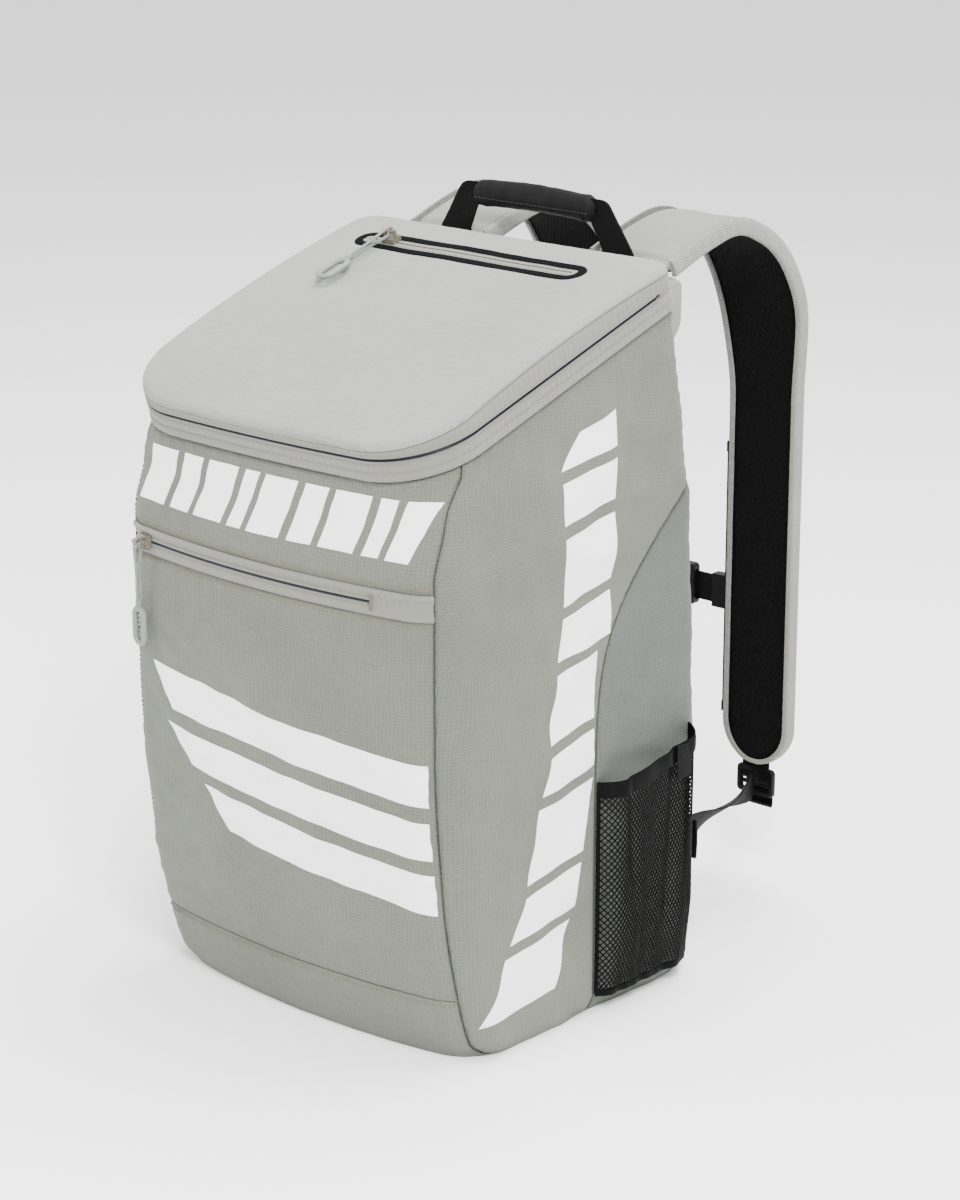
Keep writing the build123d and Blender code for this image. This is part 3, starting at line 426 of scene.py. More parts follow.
def spacer_mesh(name, colour, pitch, depth):
    """Air mesh: staggered oval holes in a knitted face."""
    s = Shader(name, colour, 0.85, 0.0, shine=0.06)
    u, v = s.uv()
    a = s.wave(s.math("ADD", u, s.math("MULTIPLY", v, 0.6)), pitch)
    b = s.wave(s.math("SUBTRACT", u, s.math("MULTIPLY", v, 0.6)), pitch)
    hole = s.math("POWER", s.math("MULTIPLY", a, b), 0.7)
    knit = s.math("MULTIPLY", s.wave(v, 0.9), 0.15)
    height = s.math("SUBTRACT", s.math("ADD", 1.0, knit), hole)
    s.tint(s.math("MULTIPLY", height, 0.85), shade(colour, 0.25), shade(colour, 1.6))
    s.bump(height, depth)
    return s.material


def grained(name, colour, rough, grain_scale, depth, metallic=0.0, coat=0.0, contrast=0.15, shine=0.3):
    """Moulded or plain surface with fine grain and slow wear in its colour."""
    s = Shader(name, colour, rough, 0.0, metallic, coat, shine)
    fine = s.noise(grain_scale, 4.0)
    slow = s.noise(18.0)
    tone = s.math("ADD", s.math("MULTIPLY", fine, 0.5), s.math("MULTIPLY", slow, 0.5))
    s.tint(tone, shade(colour, 1 - contrast), shade(colour, 1 + contrast))
    s.bump(fine, depth)
    return s.material


SAGE = (0.104, 0.1125, 0.0895)
PALE = (0.188, 0.197, 0.174)
TAPE = (0.172, 0.173, 0.148)
BLACK = (0.0024, 0.0024, 0.0027)
body_fabric = woven("body_ripstop", SAGE, 0.8, 3.0, 0.36, contrast=0.55)
# rear side panels: the body's sage ripstop painted about a quarter darker, as painted shade on panels
# that turn away from the light
rear_side_painted_shade_fabric = woven("rear_side_ripstop_painted_shade", (0.076, 0.0835, 0.072), 0.8, 3.0, 0.36, contrast=0.55)
# lid: the pale cloth's own colour, made 12% lighter as painted top light on its upward face
lid_fabric = woven("lid_weave_with_painted_top_light", shade(PALE, 1.12), 0.9, 2.0, 0.24, contrast=0.42)
strap_fabric = woven("strap_fine_weave", shade(PALE, 0.92), 0.8, 2.2, 0.2, contrast=0.4)
lining = woven("lining_taffeta", (0.075, 0.078, 0.075), 0.5, 5.0, 0.05, contrast=0.2)
tape_fabric = herringbone("tape_herringbone", TAPE, 0.9, 2.6, 0.2, contrast=0.3)
binding_fabric = herringbone("binding_herringbone", (0.22, 0.225, 0.2), 2.4, 5.0, 0.45, contrast=0.7)
black_webbing = ribbed("black_ribbed_webbing", BLACK, 1.5, 0.3, contrast=0.7, shine=0.06)
black_wrap = ribbed("black_handle_wrap", shade(BLACK, 1.5), 0.8, 0.12, contrast=0.35, shine=0.1)
black_mesh = spacer_mesh("black_air_mesh", (0.0018, 0.0018, 0.002), 3.4, 0.9)
black_binding = ribbed("black_pocket_binding", shade(BLACK, 0.8), 1.0, 0.15, shine=0.05)
net_thread = grained("net_thread", shade(BLACK, 0.5), 0.6, 900.0, 0.03, shine=0.04)
print_ink = woven("white_print", (0.86, 0.86, 0.86), 0.8, 3.0, 0.08, sheen=0.0, rough=0.6, contrast=0.08)
border_film = grained("welded_border_film", (0.0035, 0.004, 0.0045), 0.7, 500.0, 0.03, shine=0.02)
chain_dark = grained("chain_navy_core", (0.004, 0.006, 0.011), 0.45, 600.0, 0.02, shine=0.15)
chain_pale = grained("chain_pale_coil", (0.2, 0.2, 0.178), 0.5, 500.0, 0.02, contrast=0.1)
thread_beige = grained("thread_beige", (0.15, 0.122, 0.08), 0.7, 700.0, 0.02, contrast=0.2)
thread_dark = grained("thread_dark", (0.018, 0.02, 0.018), 0.8, 700.0, 0.02, contrast=0.2)
# dark cords along the seam grooves: their colour is painted shadow of the grooves, not a cloth colour
seam_shadow = grained("seam_groove_painted_shadow", (0.05, 0.053, 0.045), 0.9, 300.0, 0.03, shine=0.05)
slider_metal = grained("slider_painted_metal", (0.19, 0.17, 0.13), 0.38, 350.0, 0.02, metallic=0.5)
ring_rubber = grained("pull_ring_rubber", (0.165, 0.178, 0.165), 0.5, 260.0, 0.02, coat=0.05,
    contrast=0.06)
black_plastic = grained("black_acetal", (0.003, 0.003, 0.0035), 0.42, 420.0, 0.03, contrast=0.3,
    shine=0.12)
board_skin = woven("board_cover", (0.014, 0.014, 0.015), 0.9, 6.0, 0.1)
sheet_skin = grained("frame_sheet_plastic", (0.009, 0.009, 0.01), 0.5, 200.0, 0.05)


def cloth_without_uv(name, colour, thread, depth, contrast=0.2):
    """Plain weave in the object's own coordinates, for CAD shapes that carry no uv."""
    s = Shader(name, colour, 0.85, 0.0)
    split = s.node("ShaderNodeSeparateXYZ")
    s.link(s.node("ShaderNodeTexCoord").outputs["Object"], split.inputs[0])
    x, y, z = (s.math("MULTIPLY", split.outputs[k], 1000.0) for k in range(3))
    height = s.math("MULTIPLY", s.wave(s.math("ADD", x, y), thread), s.wave(z, thread))
    tone = s.math("ADD", s.math("MULTIPLY", height, 0.6), s.math("MULTIPLY", s.noise(12.0), 0.4))
    s.tint(tone, shade(colour, 1 - contrast), shade(colour, 1 + contrast))
    s.bump(height, depth)
    return s.material


divider_cloth = cloth_without_uv("divider_cloth", (0.055, 0.057, 0.055), 1.6, 0.15)
board_object = cloth_without_uv("board_cloth", (0.014, 0.014, 0.015), 1.2, 0.1)
cord_object = cloth_without_uv("pull_cord_object_braid", (0.2, 0.212, 0.2), 1.3, 0.25, 0.35)


# --- the body's surface -------------------------------------------------------
PER_PART = 40


def outline_half(front, back, half, front_r, rear_r, bow):
    """Right half of a bowed, rounded outline, front middle to back middle: bow arc, corner arc, side,
    corner arc, back; points (x, y) at equal shares of each part.
    """
    bow_r = (half ** 2 + bow ** 2) / (2 * bow)
    bow_y = front - bow + bow_r
    corner_x = half - front_r
    corner_y = bow_y - math.sqrt((bow_r - front_r) ** 2 - corner_x ** 2)
    start = math.atan2(corner_y - bow_y, corner_x)
    t = np.linspace(0, 1, PER_PART + 1)
    turn = -math.pi / 2 + (start + math.pi / 2) * t
    parts = [np.stack([bow_r * np.cos(turn), bow_y + bow_r * np.sin(turn)], -1)]
    turn = start * (1 - t)
    parts.append(np.stack([corner_x + front_r * np.cos(turn), corner_y + front_r * np.sin(turn)], -1))
    parts.append(np.stack([np.full_like(t, half), corner_y + (back - rear_r - corner_y) * t], -1))
    turn = t * math.pi / 2
    parts.append(np.stack([half - rear_r + rear_r * np.cos(turn),
        back - rear_r + rear_r * np.sin(turn)], -1))
    parts.append(np.stack([(half - rear_r) * (1 - t), np.full_like(t, back)], -1))
    return np.concatenate([parts[0]] + [p[1:] for p in parts[1:]])


def at_mouth(u, v, w):
    """Row position of points across, along and above the mouth's slanted plane."""
    u, v, w = np.broadcast_arrays(np.asarray(u, float), v, w)
    c, s = math.cos(LID_TILT), math.sin(LID_TILT)
    return np.stack([u + LID_CENTRE[0], LID_CENTRE[1] + v * c - w * s, LID_CENTRE[2] + v * s + w * c], -1)


def lid_half(inset):
    return outline_half(
        -LID_V + inset, LID_V - inset, LID_HALF - inset, LID_FRONT_R - inset,
        max(LID_REAR_R - inset, 2.0), LID_BOW,
    )


def smooth_up(values, heights, at):
    """Monotone cubic through ring values [k, ...] at heights, read at other heights."""
    shape = (-1,) + (1,) * (values.ndim - 1)
    h = np.diff(heights).reshape(shape)
    d = np.diff(values, axis=0) / h
    slope = np.zeros_like(values)
    same = d[:-1] * d[1:] > 0
    w1, w2 = 2 * h[1:] + h[:-1], h[1:] + 2 * h[:-1]
    safe = np.where(same, 1.0, 0.0)
    inner = (w1 + w2) / (w1 / np.where(same, d[:-1], 1) + w2 / np.where(same, d[1:], 1)) * safe
    slope[1:-1] = inner
    slope[0], slope[-1] = d[0], d[-1]
    k = np.clip(np.searchsorted(heights, at, side="right") - 1, 0, len(heights) - 2)
    t = ((at - heights[k]) / (heights[k + 1] - heights[k])).reshape(shape)
    step = (heights[k + 1] - heights[k]).reshape(shape)
    return (
        (2 * t ** 3 - 3 * t ** 2 + 1) * values[k] + (t ** 3 - 2 * t ** 2 + t) * step * slope[k]
        + (3 * t ** 2 - 2 * t ** 3) * values[k + 1] + (t ** 3 - t ** 2) * step * slope[k + 1]
    )


def body_rings():
    rings = []
    for z, front_in, back_in, side_in in STATIONS:
        half = outline_half(
            FRONT_CORNER_Y + front_in, BACK_Y - back_in, HALF_WIDTH - side_in, FRONT_R, REAR_R, FRONT_BOW
        )
        rings.append(np.column_stack([half, np.full(len(half), z)]))
    rim = lid_half(2.0)
    rings.append(at_mouth(rim[:, 0], rim[:, 1], BAND_W))
    return np.array(rings)


RINGS = body_rings()
RING_H = np.append(STATIONS[:, 0], TOP_H)
PART = np.linspace(0, 5, 5 * PER_PART + 1)


def body_rows(heights):
    """Half outlines of the body at height parameters: [rows, samples, 3]."""
    return smooth_up(RINGS, RING_H, np.asarray(heights, float))


def seam_share(row, axis, value, low, high):
    """Where along a half outline (in its part count) a coordinate reaches a value, between two parts."""
    pick = (PART >= low) & (PART <= high)
    return float(np.interp(value, row[pick, axis], PART[pick]))


def side_seam_y(z):
    """The curved seam on the side: upright, then rounding away to the straps."""
    lean = (z - SIDE_SEAM_Z) / SIDE_SEAM_SLOPE
    soft = 30.0
    return SIDE_SEAM_Y + soft * np.log1p(np.exp(np.clip(lean / soft, -30, 30)))


def spread(low, high, count, edge=0.0):
    """Even steps from low to high, closer together at both ends when edge is above 0."""
    t = np.linspace(0, 1, count)
    return low + (high - low) * (t - edge * np.sin(math.tau * t) / math.tau)


def panel_grid(heights, start, stop, columns):
    """Surface points of a panel between two seams: start and stop give the outline share at each
    height, negative on the left.
    """
    rows = body_rows(heights)
    grid = np.zeros((len(heights), columns, 3))
    for j, row in enumerate(rows):
        whole = np.concatenate([row[:0:-1] * [-1, 1, 1], row])
        share = np.concatenate([-PART[:0:-1], PART])
        run = np.concatenate([[0], np.cumsum(np.linalg.norm(np.diff(whole[:, :2], axis=0), axis=1))])
        a, b = np.interp([start(heights[j], row), stop(heights[j], row)], share, run)
        at = spread(a, b, columns, 0.6)
        grid[j] = np.stack([np.interp(at, run, whole[:, k]) for k in range(3)], -1)
    return grid


def puffed(grid, seed, puff=1.2, groove=1.3, pucker=0.45, fold=0.8, sides=(1, 1, 1, 1)):
    """A panel filled and sewn: outwards between its seams, in at them, with puckers beside the
    stitches and slow folds. sides turns seams on: left, right, bottom, top. Returns outer points,
    normals and the grid's uv in millimetres.
    """
    across, along = run_length(grid, 1), run_length(grid, 0)
    wide, tall = across[:, -1:], along[-1:]
    gaps = [across, wide - across, along, tall - along]
    near = [np.where(on, g, 1e3) for on, g in zip(sides, gaps)]
    edge = np.minimum.reduce(near)
    normal = grid_normals(grid)
    upright = np.exp(-np.minimum(near[0], near[1]) / 8.0)
    level = np.exp(-np.minimum(near[2], near[3]) / 8.0)
    wave_v = np.sin(along * math.tau / 13.0 + 2.6 * np.sin(along / 23.0 + seed))
    wave_u = np.sin(across * math.tau / 14.0 + 2.6 * np.sin(across / 27.0 + seed))
    lift = puff * (1 - np.exp(-edge / 22.0)) - groove * np.exp(-(edge / 2.2) ** 2)
    lift += pucker * (upright * wave_v + level * wave_u) * np.minimum(edge / 3.0, 1)
    calm = 1 - np.exp(-edge / 12.0)
    lift += fold * calm * soft_noise(across * 0.75, along * 1.6, 95.0, seed)
    lift += 0.35 * fold * calm * soft_noise(across, along * 1.3, 34.0, seed + 1)
    outer = grid + normal * lift[..., None]
    uv = np.stack([across - wide / 2, along + grid[:1, :, 2] * 0], -1)
    return outer, grid_normals(outer), uv


def body_panel(name, node, heights, start, stop, columns, seed, body="bag", slot="body_fabric",
               wall=WALL, material=None, **look):
    grid = panel_grid(np.asarray(heights, float), start, stop, columns)
    outer, normal, uv = puffed(grid, seed, **look)
    inner = grid - grid_normals(grid) * wall
    shell(
        name, body, outer, inner, [material or body_fabric, lining], uv, node=(node,), slot=slot
    )
    return {"outer": outer, "normal": normal, "grid": grid}


def front_seam(h, row):
    return seam_share(row, 0, SEAM_X if h < 400 else min(SEAM_X, row[:, 0].max() - 2.5), 0, 2)


def back_seam(h, row):
    pick = PART >= 3
    limit = min(SEAM_X, row[:, 0].max() - 2.5)
    return float(np.interp(-limit, -row[pick, 0], PART[pick]))


def side_seam(h, row):
    y = side_seam_y(h)
    corner = seam_share(row, 1, row[PART == 3][0, 1], 1, 3)
    last = back_seam(h, row)
    reach = float(np.interp(y, row[(PART >= 1) & (PART <= last), 1], PART[(PART >= 1) & (PART <= last)]))
    return min(reach, last)


def left_of(seam):
    return lambda h, row: -seam(h, row)


BASE_SEAM, POCKET_LOW, POCKET_TOP = 48.0, 318.0, 336.0
front_h = spread(BASE_SEAM, POCKET_LOW, 150, 0.4)
base_front = body_panel(
    "base_apron", "base_panel", spread(0.5, BASE_SEAM, 30), left_of(front_seam), front_seam, 150, 3,
    fold=0.3, sides=(1, 1, 0, 1), slot="body_fabric",
)
pocket_front = body_panel(
    "front_pocket_panel_skin", "front_pocket_panel", front_h, left_of(front_seam), front_seam, 180, 11,
    puff=1.6, fold=2.0, pucker=0.5,
)
upper_front = body_panel(
    "front_upper_panel_skin", "front_upper_panel", spread(POCKET_TOP, TOP_H, 70, 0.3),
    left_of(front_seam), front_seam, 180, 23, puff=1.4, fold=1.3, pucker=0.5,
)
gusset_h = spread(0.5, TOP_H, 260, 0.2)
gusset_grid = panel_grid(gusset_h, front_seam, side_seam, 110)
outer, normal, uv = puffed(gusset_grid, 31, puff=2.0, fold=1.8, pucker=0.5, sides=(1, 1, 0, 1))
inner = gusset_grid - grid_normals(gusset_grid) * WALL
right_gusset = {"outer": outer, "normal": normal, "grid": gusset_grid}
shell("right_front_gusset_skin", "bag", outer, inner, [body_fabric, lining], uv,
      node=("right_front_gusset",), slot="body_fabric")
shell("left_front_gusset_skin", "bag", outer[:, ::-1] * [-1, 1, 1], inner[:, ::-1] * [-1, 1, 1],
      [body_fabric, lining], uv[:, ::-1] * [-1, 1], node=("left_front_gusset",), slot="body_fabric")
rear_h = spread(0.5, 374.0, 150, 0.2)
rear_grid = panel_grid(rear_h, side_seam, back_seam, 80)
outer, normal, uv = puffed(rear_grid, 47, puff=1.6, fold=1.4, pucker=0.5, sides=(1, 1, 0, 0))
inner = rear_grid - grid_normals(rear_grid) * WALL
right_rear = {"outer": outer, "normal": normal, "grid": rear_grid}
# the rear side panels take the darker copy of the body ripstop, which is painted shade
shell("right_rear_side_skin", "bag", outer, inner, [rear_side_painted_shade_fabric, lining], uv,
      node=("right_rear_side_panel",), slot="body_fabric")
shell("left_rear_side_skin", "bag", outer[:, ::-1] * [-1, 1, 1], inner[:, ::-1] * [-1, 1, 1],
      [rear_side_painted_shade_fabric, lining], uv[:, ::-1] * [-1, 1], node=("left_rear_side_panel",), slot="body_fabric")


def back_grid(heights, columns):
    """The back wall between its two seams, from the right to the left."""
    grid = np.zeros((len(heights), columns, 3))
    for j, (h, row) in enumerate(zip(heights, body_rows(heights))):
        a = back_seam(h, row)
        pick = PART >= a
        half = np.concatenate([[[np.interp(a, PART, row[:, k]) for k in range(3)]], row[pick]])
        whole = np.concatenate([half, half[-2::-1] * [-1, 1, 1]])
        run = np.concatenate([[0], np.cumsum(np.linalg.norm(np.diff(whole[:, :2], axis=0), axis=1))])
        at = spread(0, run[-1], columns, 0.4)
        grid[j] = np.stack([np.interp(at, run, whole[:, k]) for k in range(3)], -1)
    return grid


back_h = spread(0.5, TOP_H, 120)
grid = back_grid(back_h, 90)
outer, normal, uv = puffed(grid, 53, puff=0.6, fold=0.4, sides=(1, 1, 0, 0))
shell("back_panel_skin", "bag", outer, grid - grid_normals(grid) * WALL, [strap_fabric, lining], uv,
      node=("back_panel",), slot="body_fabric")

# base underside: the outline at the floor, drawn in to the middle, with thickness
foot_row = body_rows([0.5])[0]
foot_loop = np.concatenate([foot_row[:-1], foot_row[:0:-1] * [-1, 1, 1]])[::4]
middle = np.array([0, -10, 0])
disc = [foot_loop * [1, 1, 0] + [0, 0, 4.0]]
disc[0] = middle + (disc[0] - middle) * [0.985, 0.985, 1]
levels = [(0.98, 4.0), (0.6, 4.0), (0.04, 4.0), (0.04, 0.6), (0.5, 0.6), (0.9, 0.5), (0.985, 0.8)]
profile = [middle + (foot_loop - middle) * [s, s, 0] + [0, 0, z] for s, z in levels]
tube("base_underside", "bag", np.array(profile), [board_skin], slot="body_fabric")

# --- seams as dark cords of painted shadow in their grooves, stitches ---------
def edge_line(panel, column, skip=0, lift=0.0):
    line = panel["outer"][skip:, column] + panel["normal"][skip:, column] * lift
    return line, panel["normal"][skip:, column]


def thin_cord(name, body, line, radius, material, count=6, **more):
    """A fine round cord along a line of points: rings of a few points square to the line."""
    way = np.gradient(line, axis=0)
    way /= np.maximum(np.linalg.norm(way, axis=1, keepdims=True), 1e-9)
    ref = np.tile(np.array([[0.12, 0.31, 0.94]]), (len(line), 1))
    side = np.cross(way, ref)
    side /= np.maximum(np.linalg.norm(side, axis=1, keepdims=True), 1e-9)
    up = np.cross(side, way)
    turn = np.arange(count) * math.tau / count
    rings = line[:, None] + radius * (
        np.cos(turn)[None, :, None] * side[:, None] + np.sin(turn)[None, :, None] * up[:, None]
    )
    return tube(name, body, rings, [material], **more)


# each seam gets a dark cord of painted shadow sunk in its groove, and a row of stitches
seam_line = right_gusset["grid"][2:-1, 0] - right_gusset["normal"][2:-1, 0] * 0.5
for side, flip in (("right", 1), ("left", -1)):
    turn = np.array([flip, 1, 1])
    thin_cord(f"{side}_front_seam", "bag", seam_line[::2] * turn, 0.4, seam_shadow)
    bead_row(f"{side}_front_seam_stitches", "bag",
        (seam_line + right_gusset["normal"][2:-1, 0] * 0.5) * turn,
             right_gusset["normal"][2:-1, 0] * turn, 3.4, (2.3, 0.8, 0.7), thread_dark)
    rear_line, rear_up = edge_line(right_rear, 3, 1)
    bead_row(f"{side}_side_seam_stitches", "bag", rear_line * turn, rear_up * turn, 3.6,
             (2.6, 0.8, 0.8), thread_beige)
    # the side seam's groove gets the same dark cord of painted shadow
    line = right_rear["grid"][1:, 0] - right_rear["normal"][1:, 0] * 0.4
    thin_cord(f"{side}_side_seam", "bag", line[::2] * turn, 0.35, seam_shadow)


def level_line(panel, height_row, lift=0.0, skip=2):
    return (
        panel["outer"][height_row, skip:-skip] + panel["normal"][height_row, skip:-skip] * lift,
        panel["normal"][height_row, skip:-skip],
    )


for name, panel, row in (
    ("pocket_edge_stitches", pocket_front, -4),
    ("upper_edge_stitches", upper_front, 4),
    ("base_seam_stitches", base_front, -3),
):
    line, up = level_line(panel, row)
    bead_row(name, "bag", line, up, 3.3, (2.6, 0.9, 0.9), thread_beige)
# dark cords of painted shadow along the grooves of the level seams
for name, panel, row in (("pocket_top_seam_shadow", pocket_front, -1), ("upper_foot_seam_shadow", upper_front, 0),
        ("base_seam_shadow", base_front, -1)):
    line, up = level_line(panel, row)
    thin_cord(name, "bag", line, 0.4, seam_shadow)

# --- front pocket zip ---------------------------------------------------------
tape_grid = panel_grid(spread(POCKET_LOW, POCKET_TOP, 25), left_of(front_seam), front_seam, 200)
across, along = run_length(tape_grid, 1), run_length(tape_grid, 0)
off_middle = along - along[-1:] / 2
tape_normal = grid_normals(tape_grid)
dip = 1.0 - 1.6 * np.exp(-(np.abs(off_middle) / 4.6) ** 4) + 0.9 * np.exp(-((np.abs(off_middle)
    - 6.6) / 1.1) ** 2)
dip -= 1.2 * np.exp(-((np.abs(off_middle) - 9.2) / 1.0) ** 2)
tape_outer = tape_grid + tape_normal * dip[..., None]
shell("front_zip_tape_strip", "bag", tape_outer, tape_grid - tape_normal * WALL, [tape_fabric, lining],
      np.stack([off_middle, across], -1), node=("front_zip_tape",), slot="zip_tape")


def front_zip_line(z_off, lift, x_low=-126.0, x_high=96.0):
    """A line along the front zip at a height off its middle, and the panel's normals there."""
    row = body_rows([327.0 + z_off])[0]
    whole = np.concatenate([row[:0:-1] * [-1, 1, 1], row])
    x = np.linspace(x_low, x_high, 150)
    pick = whole[:, 1] < 0
    y = np.interp(x, whole[pick, 0], whole[pick, 1])
    line = np.stack([x, y, np.full_like(x, 327.0 + z_off)], -1)
    normal = np.stack([np.gradient(y, x), -np.ones_like(x), np.zeros_like(x)], -1)
    normal /= np.linalg.norm(normal, axis=1, keepdims=True)
    return line + normal * lift, normal


core = front_zip_line(0.0, -0.2)[0]
thin_cord("front_zip_core", "bag", core, 0.9, chain_dark, node=("front_zip_chain",), slot="zip_chain")
for label, off in (("upper", 1.75), ("lower", -1.75)):
    line, up = front_zip_line(off, -0.45)
    bead_row(f"front_zip_coil_{label}", "bag", line, up, 1.3, (2.6, 0.95, 1.0), chain_pale,
        lean=math.pi / 2)
    line, up = front_zip_line(off * 2.0, -0.3)
    bead_row(f"front_zip_tape_stitches_{label}", "bag", line, up, 1.9, (1.3, 0.5, 0.45), thread_beige)

# short bar of stitches across the tape at the closed end of the zip
stop_line, stop_up = front_zip_line(0.0, 1.2, 97.5, 98.6)
middle = stop_line.mean(0)
post = np.stack([np.full(9, middle[0]), np.full(9, middle[1]), np.linspace(319.5, 334.5, 9)], -1)
bead_row("front_zip_end_bar", "bag", post, np.tile(stop_up[:1], (9, 1)), 1.2, (0.9, 2.4, 0.9),
    thread_beige)


# --- prints -------------------------------------------------------------------
def on_panel(panel, axis, a, z):
    """Points and normals of a panel's skin at places given by one level coordinate (axis 0 or 1) and
    height.
    """
    outer, normal = panel["outer"], panel["normal"]
    a, z = np.ravel(a), np.ravel(z)
    found = np.zeros((len(a), 6))
    both = np.concatenate([outer, normal], -1)
    rows = len(outer)
    for k, (ak, zk) in enumerate(zip(a, z)):
        column = np.array([
            [np.interp(ak, outer[j, :, axis], both[j, :, c]) for c in range(6)]
            for j in near_rows(outer, zk, rows)
        ])
        found[k] = [np.interp(zk, column[:, 2], column[:, c]) for c in range(6)]
    return found[:, :3], found[:, 3:]


def near_rows(outer, z, rows):
    """The panel's rows about a height: those whose span holds it, and one on each side."""
    low, high = outer[:, :, 2].min(1), outer[:, :, 2].max(1)
    pick = np.nonzero((low <= z + 3) & (high >= z - 3))[0]
    return range(max(pick[0] - 1, 0), min(pick[-1] + 2, rows))


def print_patch(panel, axis, corners, nu, nv, pieces, lift=0.28):
    """One bar of a print: a thin film on the panel's skin between four corners (level coordinate,
    height).
    """
    c = np.asarray(corners, float)
    s, t = np.meshgrid(np.linspace(0, 1, nu), np.linspace(0, 1, nv), indexing="xy")
    p = ((1 - s) * (1 - t))[..., None] * c[0] + (s * (1 - t))[..., None] * c[1]
    p = p + (s * t)[..., None] * c[2] + ((1 - s) * t)[..., None] * c[3]
    points, normal = on_panel(panel, axis, p[..., 0], p[..., 1])
    points, normal = points.reshape(nv, nu, 3), normal.reshape(nv, nu, 3)
    normal /= np.linalg.norm(normal, axis=-1, keepdims=True)
    pieces.append((points + normal * lift, points - normal * 0.25))


def join_films(name, pieces, material):
    """All the bars of one print as one mesh of closed films."""
    points, faces, uvs, first = [], [], [], 0
    for outer, inner in pieces:
        n, m = outer.shape[:2]
        points += [outer.reshape(-1, 3), inner.reshape(-1, 3)]
        edge = np.concatenate([
            np.arange(m), np.arange(1, n) * m + m - 1,
            (n - 1) * m + np.arange(m - 2, -1, -1), np.arange(n - 2, 0, -1) * m,
        ])
        after = np.roll(edge, -1)
        rim = np.stack([edge, after, after + n * m, edge + n * m], -1)
        quads = np.concatenate([grid_quads(n, m), grid_quads(n, m, first=n * m)[:, ::-1], rim])
        flat = np.stack([run_length(outer, 1), run_length(outer, 0)], -1).reshape(-1, 2)
        flat = np.concatenate([flat, flat])
        uvs.append(flat[quads].reshape(-1, 2))
        faces.append(quads + first)
        first += 2 * n * m
    build(name, "bag", np.concatenate(points), np.concatenate(faces).tolist(), [material],
          np.concatenate(uvs), slot="body_fabric")


SLANT = 0.32                # the prints' bars lean this much to the right


def leaning(x0, x1, z0, z1, lean=SLANT):
    d = (z1 - z0) * lean
    return [(x0, z0), (x1, z0), (x1 + d, z1), (x0 + d, z1)]


# band of slanted bars above the pocket zip
bars = []
x = -127.0
for wide, gap in ((29, 7), (20, 6), (29, 7), (13, 6), (29, 7), (20, 6), (29, 7), (13, 6), (18, 0)):
    print_patch(upper_front, 0, leaning(x, x + wide, 356.0, 395.0), 12, 14, bars)
    x += wide + gap
join_films("front_band_print", bars, print_ink)

# wide diagonal stripes on the pocket, cut by the right-hand seam
stripes = []
for low, high, z0, z1 in ((-112.0, 136.8, 214.0, 243.0), (-96.0, 136.8, 176.0, 203.0),
        (-60.0, 136.8, 136.0, 165.0)):
    drop = 22.0
    print_patch(pocket_front, 0,
                [(low + 24, z0), (high, z0 - drop), (high, z1 - drop), (low, z1)], 60, 12, stripes)
join_films("front_stripe_print", stripes, print_ink)

# tall ribbon of slanted blocks up the right-hand gusset
left_edge = np.array([(20, -108), (111, -63), (204, -38), (286, -28), (402, -24), (455, 28)], float)
right_edge = np.array([(29, -36), (88, -10), (181, 10), (263, 24), (386, 29), (444, 33)], float)


def ribbon_y(edge, z):
    return np.interp(z, edge[:, 0], edge[:, 1])


blocks = []
z = 26.0
for tall, gap in ((44, 9), (30, 8), (50, 9), (26, 8), (48, 9), (30, 8), (46, 9), (28, 8), (24, 0)):
    a, b = z, z + tall
    lean = 9.0
    edge_in = 1.5
    corners = [
        (ribbon_y(left_edge, a) + edge_in,
            a), (min(ribbon_y(right_edge, a + lean), 9.5 if a < 262 else 60), a + lean),
        (min(ribbon_y(right_edge, b + lean), 9.5 if b < 262 else 60),
            b + lean), (ribbon_y(left_edge, b) + edge_in, b),
    ]
    print_patch(right_gusset, 1, corners, 14, 14, blocks)
    z += tall + gap
join_films("right_side_print", blocks, print_ink)


# --- rim band, zip chains, lid ------------------------------------------------
def rim_loop(inset, w):
    """The lid's outline all the way round, drawn in by inset, at a height over the mouth plane; w may
    be one value or one for each point.
    """
    half = lid_half(max(inset, 0.0) if inset >= 0 else inset)
    loop = np.concatenate([half[:-1], half[:0:-1] * [-1, 1]])
    return at_mouth(loop[:, 0], loop[:, 1], w)


def rim_sweep(name, body, profile, materials, **more):
    """A closed band round the rim: each profile point (inset, height over the mouth) is carried round
    the lid's outline.
    """
    loops = np.array([rim_loop(i, w) for i, w in profile]).transpose(1, 0, 2)
    return tube(name, body, loops, materials, turn=True, **more)


rim_sweep(
    "rim_band", "bag",
    [(0.5, -2.1), (0.05, -3.2), (-0.15, -5.5), (-0.1, -8.6), (0.35, -9.6), (-0.25, -10.8), (-0.9, -12.8),
     (-0.8, -14.6), (0.2, -15.8), (1.6, -16.1), (3.5, -15.6), (5.6, -14.5), (5.8, -8.0), (5.4,
         -2.2), (3.0, -1.7)],
    [tape_fabric], node=("mouth_band",), slot="zip_tape", crease=60,
)
LID_LOOP = rim_loop(0.0, 0.0)
LID_COUNT = len(LID_LOOP)
CHAIN_END = 22.0            # the main zip stops this far before the hinge


def rim_line(inset, w):
    """An open line round the rim at an inset and height, from hinge corner to hinge corner, with
    outward normals.
    """
    inner, outer = rim_loop(inset + 1.5, w), rim_loop(inset - 1.5, w)
    line, out = rim_loop(inset, w), outer - inner
    out /= np.linalg.norm(out, axis=1, keepdims=True)
    v = np.array([lid_v(p) for p in line])
    pick = v <= LID_V - CHAIN_END
    order = np.roll(np.arange(LID_COUNT), -(LID_COUNT // 2))
    order = order[pick[order]]
    return line[order], out[order]


def lid_v(p):
    """How far back a row point lies along the mouth plane."""
    c, s = math.cos(LID_TILT), math.sin(LID_TILT)
    return (p[1] - LID_CENTRE[1]) * c + (p[2] - LID_CENTRE[2]) * s


